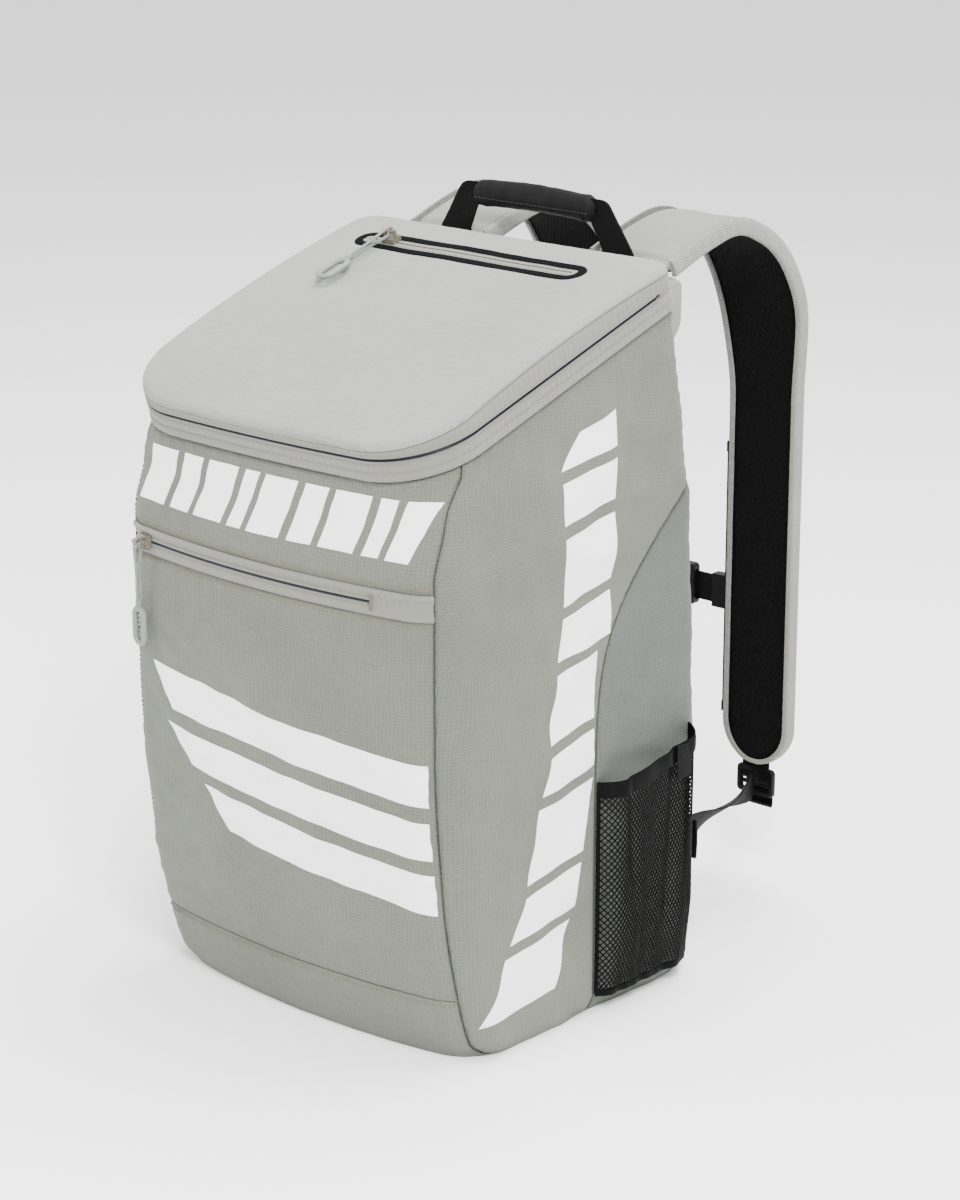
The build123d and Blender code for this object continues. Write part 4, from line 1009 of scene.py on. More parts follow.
mouth_up = np.array([0.0, -math.sin(LID_TILT), math.cos(LID_TILT)])
for body, name, node, sign in (("bag", "mouth_zip", "mouth_zip_chain", -1),
        ("lid", "lid_zip", "lid_zip_chain", 1)):
    line, out = rim_line(1.0, sign * 0.62)
    thin_cord(f"{name}_core", body, line, 0.62, chain_dark, node=(node,), slot="zip_chain")
    line, out = rim_line(0.35, sign * 1.9)
    bead_row(f"{name}_coil", body, line, out, 1.45, (1.7, 1.0, 1.0), chain_pale, lean=math.pi / 2)
    line, out = rim_line(0.1, sign * 3.7)
    bead_row(f"{name}_tape_stitches", body, line, out, 2.1, (1.3, 0.9, 0.5), tape_fabric,
        lean=math.pi / 2)
line, out = rim_line(0.35, -9.6)
bead_row("rim_band_stitches", "bag", line, out, 3.2, (2.4, 0.6, 0.6), tape_fabric)


def crown(v):
    """Height of the lid's top over the mouth plane: the circle through its front, crown and rear
    heights.
    """
    (x1, y1), (x2, y2), (x3, y3) = (-LID_V - 20, 9.0), (20.0, 21.0), (LID_V + 20, 12.5)
    d = 2 * (x1 * (y2 - y3) + x2 * (y3 - y1) + x3 * (y1 - y2))
    a, b, c = x1 ** 2 + y1 ** 2, x2 ** 2 + y2 ** 2, x3 ** 2 + y3 ** 2
    cx = (a * (y2 - y3) + b * (y3 - y1) + c * (y1 - y2)) / d
    cy = (a * (x3 - x2) + b * (x1 - x3) + c * (x2 - x1)) / d
    return cy + np.sqrt((x2 - cx) ** 2 + (y2 - cy) ** 2 - (v - cx) ** 2)


def emboss(u, v):
    """Depth of the lid's pressed mark: straight slanted bars with soft sides."""
    depth = np.zeros_like(u)
    slanted = u - 0.55 * (v + 28)
    for centre in (-62.0, -30.0, 2.0, 34.0, 66.0):
        bar = 1 / (1 + np.exp((np.abs(slanted - centre) - 9.0) / 1.1))
        inside = 1 / (1 + np.exp((np.abs(v + 27.5) - 27.0) / 1.1))
        depth += bar * inside
    return depth


def pocket_press(u, v):
    """1 inside the lid pocket's welded slot, 0 outside: the foam is thin there."""
    a = np.maximum(np.abs(u + 8.0) - 94.0, 0)
    d = np.hypot(a, v - 92.0)
    return 1 / (1 + np.exp((d - 13.5) / 1.2))


def lid_surface(u, v, edge):
    """Height of the lid's skin: its crown, rolled over at the edge, with a stitched groove, the
    pressed mark, slow waves.
    """
    roll = np.clip(1 - edge / 5.5, 0, 1)
    w = crown(v) - 4.2 * (1 - np.sqrt(1 - roll ** 2))
    calm = 1 - np.exp(-edge / 16.0)
    w = w + 0.9 * calm - 1.15 * emboss(u, v) - 0.7 * pocket_press(u, v)
    w = w + 0.30 * calm * soft_noise(u, v, 85.0, 5) + 0.1 * calm * soft_noise(u, v, 26.0, 6)
    w = w + 0.12 * np.exp(-edge / 7.0) * np.sin(np.hypot(u, v) * 0.9 + 0.11 * u)
    return w


lid_half_line = lid_half(0.0)
lid_outline_uv = np.concatenate([lid_half_line[:-1], lid_half_line[:0:-1] * [-1, 1]])
run = np.arange(len(lid_outline_uv) + 1)
fine = np.linspace(0, len(lid_outline_uv), 520, endpoint=False)
closed = np.concatenate([lid_outline_uv, lid_outline_uv[:1]])
rim_uv = np.stack([np.interp(fine, run, closed[:, k]) for k in range(2)], -1)


def drawn_in(uv, edge):
    """Points of the rim moved towards the lid's middle so that they lie about edge from it."""
    reach = np.linalg.norm(uv, axis=1, keepdims=True)
    return uv * np.maximum(1 - edge * 1.06 / reach, 0.0)


def lid_pad():
    edges = np.concatenate([np.linspace(0, 6, 12), np.linspace(7, 136, 108)])
    tops = []
    for e in edges:
        p = drawn_in(rim_uv, e) if e < 20 else rim_uv * (1 - (20 * 1.06 / np.linalg.norm(rim_uv, axis=1,
            keepdims=True)) * (136 - e) / 116
                                                         - (e - 20) / 116 * 0.999)
        tops.append(at_mouth(p[:, 0], p[:, 1], lid_surface(p[:, 0], p[:, 1], np.full(len(p), e))))
    tops = tops[::-1]
    side = [at_mouth(rim_uv[:, 0], rim_uv[:, 1], crown(rim_uv[:, 1]) - 5.0)]
    under = []
    for share in (0.985, 0.95, 0.8, 0.5, 0.2, 0.004):
        p = rim_uv * share
        low = crown(p[:, 1]) - 5.2 - 0.5 * (share < 0.96)
        under.append(at_mouth(p[:, 0], p[:, 1], low))
    rings = np.array(tops + side + under)
    n, m = rings.shape[:2]
    bands = np.zeros(m)
    # the padded top wears the lid cloth with its painted top light
    obj = tube("lid_padded_top", "lid", rings, [lid_fabric, lining], bands=None, crease=70,
               node=("lid_panel",), slot="lid_fabric")
    # flat, undistorted weave: uv from across and along the mouth
    mesh = obj.data
    co = np.zeros(len(mesh.vertices) * 3)
    mesh.vertices.foreach_get("co", co)
    co = co.reshape(-1, 3) / MM
    along = (co[:, 1] - LID_CENTRE[1]) * math.cos(LID_TILT) + (co[:,
        2] - LID_CENTRE[2]) * math.sin(LID_TILT)
    flat = np.stack([co[:, 0], along], -1) * UV_MM
    index = np.zeros(len(mesh.loops), np.int32)
    mesh.loops.foreach_get("vertex_index", index)
    mesh.uv_layers[0].data.foreach_set("uv", flat[index].ravel())
    w = (co[:, 2] - LID_CENTRE[2]) * math.cos(LID_TILT) - (co[:, 1] - LID_CENTRE[1]) * math.sin(LID_TILT)
    under_side = np.array([
        all(w[v] < crown(along[v]) - 4.9 for v in p.vertices) for p in mesh.polygons
    ])
    mesh.polygons.foreach_set("material_index", under_side.astype(np.int32))
    return obj


lid_top = lid_pad()


def lid_side():
    """The lid's upright edge: zip tape from the chain up to the padded top, its top following the
    crown.
    """
    loops = []
    for inset, low, high in ((0.3, 1.6, None), (0.0, 2.6, None), (-0.1, 5.6, None), (0.25, 6.6, None),
            (0.0, 7.6, None)):
        loops.append(rim_loop(inset, low))
    flat = rim_loop(0.0, 0.0)
    v = np.array([lid_v(p) for p in flat])
    for inset, drop in ((0.1, 5.4), (0.8, 4.6), (3.4, 4.9)):
        at = rim_loop(inset, 0.0)
        loops.append(at + mouth_up * (crown(v) - drop)[:, None])
    for inset, w in ((4.2, 6.0), (4.3, 2.4), (2.6, 1.6)):
        loops.append(rim_loop(inset, w))
    return tube("lid_rim_tape", "lid", np.array(loops).transpose(1, 0, 2), [tape_fabric], turn=True,
                node=("lid_rim_band",), slot="zip_tape", crease=60)


lid_side()
top_edge = rim_loop(0.35, 0.0)
top_v = np.array([lid_v(p) for p in top_edge])
top_edge = top_edge + mouth_up * (crown(top_v) - 5.3)[:, None]
outward = rim_loop(-1.0, 0.0) - rim_loop(1.0, 0.0)
outward /= np.linalg.norm(outward, axis=1, keepdims=True)
# a dark cord of painted shadow along the seam where the padded top meets the rim tape
thin_cord("lid_edge_seam_shadow", "lid", np.concatenate([top_edge, top_edge[:1]]), 0.45, seam_shadow)

# fabric hinge at the back of the lid
hinge = []
for w, off in ((-1.9, 0.2), (-0.9, 1.0), (0.0, 1.3), (0.9, 1.0), (1.9, 0.2), (1.5, -3.4), (0, -3.6),
        (-1.5, -3.4)):
    u = np.linspace(-126, 126, 40)
    hinge.append(at_mouth(u, LID_V + off - 0.4, w * 0.9))
# cloth tabs that close the mouth between each end of the zip and the hinge
half_loop = slice(0, LID_COUNT // 2 + 1)
edge_line_v = np.array([lid_v(p) for p in rim_loop(0.0, 0.0)[half_loop]])
beyond_zip = (edge_line_v > LID_V - CHAIN_END - 1.0) & (rim_loop(0.0, 0.0)[half_loop, 0] > 122.0)
tab_rings = [rim_loop(inset, w)[half_loop][beyond_zip] for inset,
    w in ((0.9, -1.8), (0.9, 1.3), (2.6, 1.3), (2.6, -1.8))]
tab_rings = np.array(tab_rings).transpose(1, 0, 2)
for side, flip in (("right", 1), ("left", -1)):
    tube(f"{side}_zip_end_tab", "bag", tab_rings * [flip, 1, 1], [tape_fabric], slot="zip_tape",
        crease=60)

obj = tube("lid_hinge_fold", None, np.array(hinge).transpose(1, 0, 2), [tape_fabric])
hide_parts("lid_hinge_strip")
at_mouth(0, LID_V, -1.2) * MM
at_mouth(0, LID_V, 1.2) * MM
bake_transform(obj)


# --- lid pocket ---------------------------------------------------------------
def lid_place(u, v, lift):
    u, v = np.asarray(u, float), np.asarray(v, float)
    edge = np.minimum(LID_HALF - np.abs(u), LID_V - np.abs(v))
    return at_mouth(u, v, lid_surface(u, v, edge) + lift)


def slot_loop(length, height, count=120):
    """A rounded slot's outline about the lid pocket's middle: two half circles joined by straight
    runs.
    """
    r = height / 2
    half = length / 2 - r
    t = np.linspace(0, math.tau, count, endpoint=False)
    return -8.0 + np.sign(np.cos(t)) * half + r * np.cos(t), 92.0 + r * np.sin(t)


def resampled(u, v, count=260):
    p = np.stack([np.append(u, u[0]), np.append(v, v[0])], -1)
    run = np.concatenate([[0], np.cumsum(np.linalg.norm(np.diff(p, axis=0), axis=1))])
    at = np.linspace(0, run[-1], count, endpoint=False)
    return np.interp(at, run, p[:, 0]), np.interp(at, run, p[:, 1])


ring = []
for length, height, lift in ((196, 11.0, -0.6), (196.4, 11.4, 0.75), (198, 13, 1.0), (207, 21.5, 1.0),
        (209, 23.4, 0.7), (209.4, 23.8, -0.6)):
    ring.append(lid_place(*resampled(*slot_loop(length, height)), lift))
tube("lid_pocket_welded_border", "lid", np.array(ring).transpose(1, 0, 2), [border_film], turn=True,
     node=("lid_pocket_border",), slot="black_plastic", crease=50)
inner_u = np.linspace(-8 - 98, -8 + 98, 150)
tape_rows = []
for off, lift in ((-5.6, -0.2), (-4.6, 0.5), (-2.2, 0.75), (-0.9, 0.35), (0.9, 0.35), (2.2, 0.75),
        (4.6, 0.5), (5.6, -0.2), (5.0, -1.2), (-5.0, -1.2)):
    tape_rows.append(lid_place(inner_u, 92.0 + off, lift))
tube("lid_pocket_tape", "lid", np.array(tape_rows).transpose(1, 0, 2), [tape_fabric], slot="zip_tape")
chain_u = np.linspace(-8 - 94, -8 + 94, 150)
thin_cord("lid_pocket_zip_core", "lid", lid_place(chain_u, 92.0, 0.55), 0.5, chain_dark,
          node=("lid_pocket_chain",), slot="zip_chain")
lid_up = np.tile(mouth_up, (150, 1))
for label, off in (("rear", 1.35), ("front", -1.35)):
    bead_row(f"lid_pocket_coil_{label}", "lid", lid_place(chain_u, 92.0 + off, 0.45), lid_up, 1.3,
             (1.9, 0.95, 0.9), chain_pale, lean=math.pi / 2)
    bead_row(f"lid_pocket_stitches_{label}", "lid", lid_place(chain_u, 92.0 + off * 2.9, 0.6), lid_up,
        2.6,
             (1.7, 0.6, 0.5), thread_beige)


# --- bottle pockets -----------------------------------------------------------
def net_surface(a, h):
    """Net pocket's face: a runs from its front seam (0) to its rear one (1), h from its foot (0) to
    its lip (1). It bulges off the side, is gathered at its foot and pleated under its lip.
    """
    y = 13.0 + 99.0 * a
    lip = 172.0 + 18.0 * (y - 14.0) / 96.0 - 12.0
    z = 15.5 + (lip - 15.5) * h
    rise = np.clip(np.minimum(a, 1 - a) / 0.17, 0, 1)
    bulge = 16.4 * np.sin(rise * math.pi / 2) ** 0.8
    foot = 0.45 + 0.55 * np.clip(h / 0.3, 0, 1) ** 0.6
    pleat = 1.5 * np.sin(a * 26.0 + 1.2 * np.sin(h * 5)) * (0.25 + 0.75 * (1 - h) ** 1.5) * rise
    fold = 1.6 * np.exp(-((a - 0.55 - 0.1 * h) / 0.05) ** 2) * rise + 1.3 * np.exp(-((a - 0.30 + 0.12
        * h) / 0.04) ** 2) * rise
    x = 150.4 + bulge * foot + pleat - fold * 1.2
    return np.stack([np.clip(x, 150.2, 168.6), y, z], -1)


def net(name, node, flip):
    """Diamond net: thin flat threads between crossing points of a slanted lattice laid over the
    pocket's face; 8 corners and 6 faces a thread.
    """
    cols, rows = 36, 60
    j, i = np.meshgrid(np.arange(rows + 1), np.arange(cols + 1), indexing="ij")
    a = np.clip((i + 0.5 * (j % 2)) / (cols + 0.5), 0, 1)
    points = net_surface(a, j / rows)
    normal = grid_normals(points)
    starts, ends = [], []
    for shift in (0, 1):
        lower_j, lower_i = np.meshgrid(np.arange(rows), np.arange(cols + 1), indexing="ij")
        even = lower_j % 2 == 0
        target = np.where(even, lower_i - 1 + shift, lower_i + shift)
        ok = (target >= 0) & (target <= cols)
        starts.append(np.stack([lower_j[ok], lower_i[ok]], -1))
        ends.append(np.stack([lower_j[ok] + 1, target[ok]], -1))
    starts, ends = np.concatenate(starts), np.concatenate(ends)
    a0 = points[starts[:, 0], starts[:, 1]]
    b0 = points[ends[:, 0], ends[:, 1]]
    up = normal[starts[:, 0], starts[:, 1]] + normal[ends[:, 0], ends[:, 1]]
    up /= np.linalg.norm(up, axis=1, keepdims=True)
    way = b0 - a0
    length = np.linalg.norm(way, axis=1, keepdims=True)
    way = way / length
    side = np.cross(up, way)
    half_side, half_up = 0.42, 0.24
    box = []
    for end, reach in ((a0, -0.2), (b0, 0.2)):
        for s, t in ((-1, -1), (1, -1), (1, 1), (-1, 1)):
            box.append(end + way * reach + side * (s * half_side) + up * (t * half_up))
    corners = np.stack(box, 1)
    corners[..., 0] *= flip
    faces = np.array([(3, 2, 1, 0), (4, 5, 6, 7), (0, 1, 5, 4), (1, 2, 6, 5), (2, 3, 7, 6), (3, 0, 4, 7)])
    count = len(corners)
    all_faces = (faces[None] + (np.arange(count) * 8)[:, None, None]).reshape(-1, 4)
    build(name, "bag", corners.reshape(-1, 3), all_faces.tolist(), [net_thread], node=(node,),
        slot="black_net")


def band_along(name, body, line, across, out, width, thick, material, count_in=5, **more):
    """A flat, slightly rounded band: its section, width along one direction and thick along another,
    is carried down a line.
    """
    s = np.linspace(-1, 1, count_in)
    face = [(k, 1 - 0.35 * abs(k) ** 4) for k in s] + [(k, -1 + 0.35 * abs(k) ** 4) for k in s[::-1]]
    rings = np.stack([
        line + across * (width / 2 * k) + out * (thick / 2 * t) for k, t in face
    ], 1)
    return tube(name, body, rings, [material], **more)


for side, flip in (("right", 1), ("left", -1)):
    net(f"{side}_bottle_net", f"{side}_mesh_pocket", flip)
    turn = np.array([flip, 1, 1])
    a = np.linspace(0, 1, 70)
    lip = net_surface(a, np.ones_like(a))
    lip[:, 0] += 0.2
    lip[:, 0] = np.clip(150.6 + (lip[:, 0] - 150.6) * 1.04, 150.6, 168.2)
    top = lip + np.stack([np.zeros(70), np.zeros(70), np.full(70, 5.8)], -1)
    out = grid_normals(np.stack([lip, top]))[0]
    out = np.where(out[:, :1] < 0, -out, out)
    band_along(f"{side}_net_binding", "bag", top * turn, np.tile([[0, 0, 1.0]], (70, 1)), out * turn,
               11.5, 2.0, black_binding, node=(f"{side}_pocket_binding",), slot="black_webbing")
    foot = net_surface(a, np.zeros_like(a)) + [0.3, 0, 0]
    band_along(f"{side}_net_foot_seam", "bag", foot * turn, np.tile([[0, 0, 1.0]], (70, 1)), out * turn,
               5.0, 1.4, black_binding, slot="black_webbing")
    for label, at in (("front", 0.004), ("rear", 0.996)):
        h = np.linspace(0, 1, 40)
        edge = net_surface(np.full(40, at), h) + [0.2, 0, 0]
        band_along(f"{side}_net_{label}_seam", "bag", edge * turn, np.tile([[0, 1.0, 0]], (40, 1)),
                   np.tile([[1.0 * flip, 0, 0]], (40, 1)), 3.4, 1.2, black_binding, slot="black_webbing")
z = np.linspace(159.5, 184.5, 14)
for side, flip in (("right", 1), ("left", -1)):
    line = np.stack([np.full(14, flip * 168.2), np.full(14, 86.0), z], -1)
    obj = band_along(f"{side}_pocket_tab", "bag", line, np.tile([[0, 1.0, 0]], (14, 1)),
                     np.tile([[flip * 1.0, 0, 0]], (14,
                         1)), 15.6, 1.5, black_webbing, slot="black_webbing")
    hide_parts("pocket_tabs")

# --- handle -------------------------------------------------------------------
leg_share = np.linspace(0, 1, 60)
outer_edge = rounded_line([(89.0, 512.4), (66.5, 547.6), (40.0, 548.0)], 0.22, 60)
inner_edge = rounded_line([(62.0, 512.4), (51.0, 535.0), (38.0, 535.6)], 0.2, 60)
for side, flip in (("right", 1), ("left", -1)):
    s = np.linspace(-1, 1, 9)
    cup = 1.4 * np.clip((leg_share - 0.1) / 0.4, 0, 1)
    face = [(k, 1.0 - 0.3 * abs(k) ** 4) for k in s] + [(k, -1 + 0.3 * abs(k) ** 4) for k in s[::-1]]
    rings = []
    for k, t in face:
        edge = outer_edge * (1 + k) / 2 + inner_edge * (1 - k) / 2
        y = 120.0 + 1.25 * t - cup * k * k
        rings.append(np.stack([edge[:, 0] * flip, y, edge[:, 1]], -1))
    rings = np.stack(rings, 1)
    obj = tube(f"{side}_handle_leg", "handle", rings, [black_webbing], slot="black_webbing")
    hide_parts("handle_webbing")
    stub = np.stack([np.full(12, 75.0 * flip), np.full(12, 120.0), np.linspace(489.0, 512.6, 12)], -1)
    stub[:, 1] = np.interp(stub[:, 2], [489, 501.5, 512.6], [121.0, 120.2, 120.0])
    obj = band_along(f"{side}_handle_root", "bag", stub, np.tile([[1.0, 0, 0]], (12, 1)),
                     np.tile([[0, 1.0, 0]], (12, 1)), 28.0, 2.5, black_webbing, slot="black_webbing")
    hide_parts("sewn_anchors")
    tack = np.stack([np.linspace(63.5, 86.5, 20) * flip, np.full(20, 118.7), np.full(20, 503.5)], -1)
    bead_row(f"{side}_handle_bar_tack", "bag", tack, np.tile([[0, -1.0, 0]], (20, 1)), 1.5,
        (1.2, 2.2, 0.6), thread_dark)

grip_x = np.linspace(-56, 56, 130)
turn = np.linspace(0, math.tau, 56, endpoint=False)
end_round = np.sqrt(np.clip(1 - (np.abs(grip_x) / 56.2) ** 22, 0.2, 1))
folds = 0.35 * np.sin(grip_x[:,
    None] * 0.9 + 2 * np.sin(turn)[None]) * np.exp(-((np.abs(grip_x) - 52) / 7.0) ** 2)[:, None]
folds = folds + 0.25 * soft_noise(grip_x[:, None], turn[None] * 8.0, 18.0, 71)
flap = 0.9 * (1 / (1 + np.exp(-(np.sin(turn) * 9.0 - 4 - 0.02 * grip_x[:, None]) / 0.35)))
radius_y = (6.3 + folds + 0.3 * flap) * end_round[:, None]
radius_z = (9.4 + folds + 0.3 * flap) * end_round[:, None]
grip = np.stack([
    np.broadcast_to(grip_x[:, None], radius_y.shape), 120 + radius_y * np.cos(turn)[None],
    541.6 + radius_z * np.sin(turn)[None] - 0.0007 * (grip_x[:, None]) ** 2,
], -1)
obj = tube("handle_wrapped_grip", "handle", grip, [black_wrap], node=("handle_grip",),
    slot="black_webbing")
line = np.stack([grip_x[4:-4], 120 - 6.2 * np.ones(122), np.full(122, 537.5)], -1)
bead_row("handle_wrap_stitches", "handle", line, np.tile([[0, -1.0, -0.3]], (122, 1)), 3.2,
    (2.2, 0.6, 0.6), thread_dark)

# --- harness ------------------------------------------------------------------
strap_line = rounded_line(STRAP_LINE, 0.48, 260)
strap_run = np.concatenate([[0], np.cumsum(np.linalg.norm(np.diff(strap_line, axis=0), axis=1))])


def strap_half(yz, run, inset=0.0):
    """Half the strap's width along its seam line: wide over the shoulder, narrower below, a half round
    at its tip.
    """
    z, past = yz[:, 1], yz[:, 0] > 215
    t = np.clip((z - 380.0) / 90.0, 0, 1)
    t = np.where(past, t * t * (3 - 2 * t), 1.0)
    half = 30.0 + 7.5 * t
    over = np.clip((130.0 - z) / 30.0, 0, 1) * past
    return np.maximum(half * np.sqrt(np.clip(1 - over ** 2, 0, 1)) - inset * (1 - 0.6 * over ** 8), 0.25)


keep = strap_line[:, 1] > 100.3
keep |= strap_line[:, 0] < 215
strap_line = strap_line[keep]
ends = np.linspace(0, 1, 26)[1:]
tip = np.stack([np.full(25, 282.0), 104.0 - 3.75 * np.sin(ends * math.pi / 2)], -1)
strap_line = np.concatenate([strap_line[strap_line[:, 1] > 104.2], tip])
strap_way = np.gradient(strap_line, axis=0)
strap_way /= np.maximum(np.linalg.norm(strap_way, axis=1, keepdims=True), 1e-9)
strap_out = np.stack([-strap_way[:, 1], strap_way[:, 0]], -1)
strap_out[-28:] = [1.0, 0.0]
strap_run = np.concatenate([[0], np.cumsum(np.linalg.norm(np.diff(strap_line, axis=0), axis=1))])


def strap_point(flip, x_off, off):
    """Points of a strap: across it from its middle and off its seam line, outwards above 0."""
    yz = strap_line + strap_out * np.asarray(off)[:, None]
    return np.stack([flip * (STRAP_X + x_off), yz[:, 0], yz[:, 1]], -1)


def strap_pad(name, node, flip, top, material, slot_name, body="harness", quilt=0.0):
    """One face of a strap: a filled pad from its seam line outwards (top above 0) or inwards, thin at
    its bound edges.
    """
    half = strap_half(strap_line, strap_run, 3.0)
    s = np.sin(np.linspace(-1, 1, 31) * math.pi / 2)
    shut = np.clip(strap_run / 6.0, 0.4, 1) * np.clip(half / 9.0, 0.12, 1)
    wrinkle = soft_noise(strap_run[:, None], s[None] * half[:, None], 46.0, 83)
    outer, inner = [], []
    for k, share in enumerate(s):
        fill = (1 - abs(share) ** 7) ** 0.75
        edge_fill = 0.3 + 0.7 * fill
        off = top * edge_fill * (0.3 + 0.7 * shut) + np.sign(top) * (0.35 * wrinkle[:, k] * fill)
        if quilt:
            off = off - np.sign(top) * quilt * fill * np.exp(-((strap_run - strap_run[-1]
                + 24) / 3.0) ** 2)
        outer.append(strap_point(flip, share * half, off))
        inner.append(strap_point(flip, share * half, np.full(len(half), np.sign(top) * 0.12)))
    rings = np.stack(outer + inner[::-1], 1)
    return tube(name, body, rings, [material], node=(node,), slot=slot_name, crease=75)


for side, flip in (("right", 1), ("left", -1)):
    pad = strap_pad(f"{side}_strap_top", f"{side}_strap_pad", flip, 7.6, strap_fabric, "strap_fabric")
    under = strap_pad(f"{side}_strap_underside", f"{side}_strap_mesh", flip, -3.9, black_mesh,
        "air_mesh", quilt=1.2)
    # bound edges: a folded twill tape down one side, round the tip and up the other
    half = strap_half(strap_line, strap_run, 1.9)
    shape = [(1.9, -4.2), (2.3, -2.0), (2.35, 1.0), (2.2, 4.4), (1.5, 6.9), (0.2, 7.9), (-1.9, 7.8),
        (-1.7, 6.8),
             (-1.2, 4.0), (-1.2, -2.6), (-1.9, -3.6), (-1.8, -4.4), (0.3, -4.5)]
    shape = np.array(shape)
    down = np.arange(len(half))
    route_x = np.concatenate([half, -half[::-1]])
    route_k = np.concatenate([down, down[::-1]])
    flat = np.stack([route_x, strap_run[route_k]], -1)
    step = np.gradient(flat, axis=0)
    step /= np.maximum(np.linalg.norm(step, axis=1, keepdims=True), 1e-9)
    outwards = np.stack([step[:, 1], -step[:, 0]], -1)
    rings = []
    for reach, off in shape:
        x = flat[:, 0] + outwards[:, 0] * reach
        run = np.clip(flat[:, 1] + outwards[:, 1] * reach, 0, strap_run[-1] + 3.4)
        yz = np.stack([np.interp(run, strap_run, strap_line[:, k]) for k in range(2)], -1)
        yz[:, 1] -= np.maximum(run - strap_run[-1], 0) * 0.9
        out = np.stack([np.interp(run, strap_run, strap_out[:, k]) for k in range(2)], -1)
        out /= np.linalg.norm(out, axis=1, keepdims=True)
        yz = yz + out * off
        rings.append(np.stack([flip * (STRAP_X + x), yz[:, 0], yz[:, 1]], -1))
    obj = tube(f"{side}_strap_binding", "harness", np.stack(rings, 1), [binding_fabric],
        slot="strap_fabric", crease=75)
    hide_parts("strap_bindings")
    # stitches along the tape, on the outer face
    for label, sign in (("inner", -1), ("outer", 1)):
        line = strap_point(flip, sign * (half - 1.6), np.full(len(half), 7.75))
        up = np.stack([np.zeros(len(half)), strap_out[:, 0], strap_out[:, 1]], -1)
        bead_row(f"{side}_strap_stitches_{label}", "harness", line[6:-22], up[6:-22], 3.4,
            (2.5, 0.6, 0.6), thread_beige)
        line = strap_point(flip, sign * (half - 1.5), np.full(len(half), -4.45))
        bead_row(f"{side}_strap_under_stitches_{label}", "harness", line[6:-22], -up[6:-22], 3.4,
            (2.4, 0.6, 0.5), thread_beige)

    # tip tab, ladder lock, tail, lower webbing
    turn = np.array([flip, 1, 1])
    tab = np.stack([np.full(14, STRAP_X), np.full(14, 281.4), np.linspace(112.0, 86.5, 14)], -1)
    band_along(f"{side}_tip_tab", "harness", tab * turn, np.tile([[1.0, 0, 0]], (14, 1)),
        np.tile([[0, 1.0, 0]], (14, 1)),
               24.6, 1.6, black_webbing, slot="black_webbing")
    tail = rounded_line([(286.0, 84.0), (287.2, 66.0), (285.6, 62.5), (284.2, 66.0)], 0.45, 30)
    tail = np.stack([np.full(30, STRAP_X), tail[:, 0], tail[:, 1]], -1)
    obj = band_along(f"{side}_webbing_tail", "harness", tail * turn, np.tile([[1.0, 0, 0]], (30, 1)),
                     np.tile([[0, 1.0, 0]], (30, 1)), 24.6, 1.5, black_webbing, slot="black_webbing")
    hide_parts("webbing_tails")
    anchor = np.stack([np.full(14, 138.0), np.full(14, 128.1), np.linspace(81.5, 110.5, 14)], -1)
    anchor[:, 1] = 127.6 + 0.9 * np.sin(np.linspace(0, math.pi, 14))
    obj = band_along(f"{side}_webbing_anchor", "bag", anchor * turn, np.tile([[1.0, 0, 0]], (14, 1)),
                     np.tile([[0, 1.0, 0]], (14, 1)), 20.0, 2.4, black_webbing, slot="black_webbing")
    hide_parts("sewn_anchors")
    route = rounded_line([(138, 129.4, 96), (134, 136, 96), (112, 205, 88.5), (91, 268, 84),
        (85, 278.6, 84)], 0.4, 90)
    way = np.gradient(route, axis=0)
    way /= np.linalg.norm(way, axis=1, keepdims=True)
    share = np.linspace(0, 1, 90)
    twist = math.radians(62) * np.sin(np.clip(share, 0, 1) * math.pi) ** 2
    upright = np.tile([[0, 0, 1.0]], (90, 1))
    flat_out = np.cross(way, upright)
    flat_out /= np.linalg.norm(flat_out, axis=1, keepdims=True)
    lift = np.cross(flat_out, way)
    across = np.cos(twist)[:, None] * lift + np.sin(twist)[:, None] * flat_out
    out = np.cross(across, way)
    narrow = 24.0 - 5.0 * np.sin(share * math.pi) ** 2
    s = np.linspace(-1, 1, 7)
    face = [(k, 1 - 0.3 * abs(k) ** 4) for k in s] + [(k, -1 + 0.3 * abs(k) ** 4) for k in s[::-1]]
    rings = np.stack([
        route + across * (narrow / 2 * k)[:,
            None] + out * (0.8 * t + 0.8 * k * k * np.sin(share * math.pi))[:, None]
        for k, t in face
    ], 1) * turn
    obj = tube(f"{side}_adjuster_webbing", None, rings, [black_webbing], slot="black_webbing")
    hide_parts(f"{side}_lower_webbing")
    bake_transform(obj)


def rounded_frame(name, body, centre, size, hole, thick, corner, material, **more):
    """A flat plate with a rounded hole, in the XZ plane: outer and inner outlines joined through four
    rounded edges.
    """
    def loop(w, h, r, y):
        t = np.linspace(0, math.tau, 48, endpoint=False)
        cx = np.clip(np.cos(t) * 4, -1, 1) * (w / 2 - r) + r * np.cos(t)
        cz = np.clip(np.sin(t) * 4, -1, 1) * (h / 2 - r) + r * np.sin(t)
        return np.stack([centre[0] + cx, np.full(48, centre[1] + y), centre[2] + cz], -1)
    w, h = size
    a, b = hole
    y = thick / 2
    loops = [loop(w, h, corner, y * 0.55), loop(w - 1.2, h - 1.2, corner, y),
        loop(a + 1.2, b + 1.2, 1.2, y),
             loop(a, b, 1.0, y * 0.55), loop(a, b, 1.0, -y * 0.55), loop(a + 1.2, b + 1.2, 1.2, -y),
             loop(w - 1.2, h - 1.2, corner, -y), loop(w, h, corner, -y * 0.55)]
    return tube(name, body, np.array(loops).transpose(1, 0, 2), [material], turn=True, crease=50, **more)


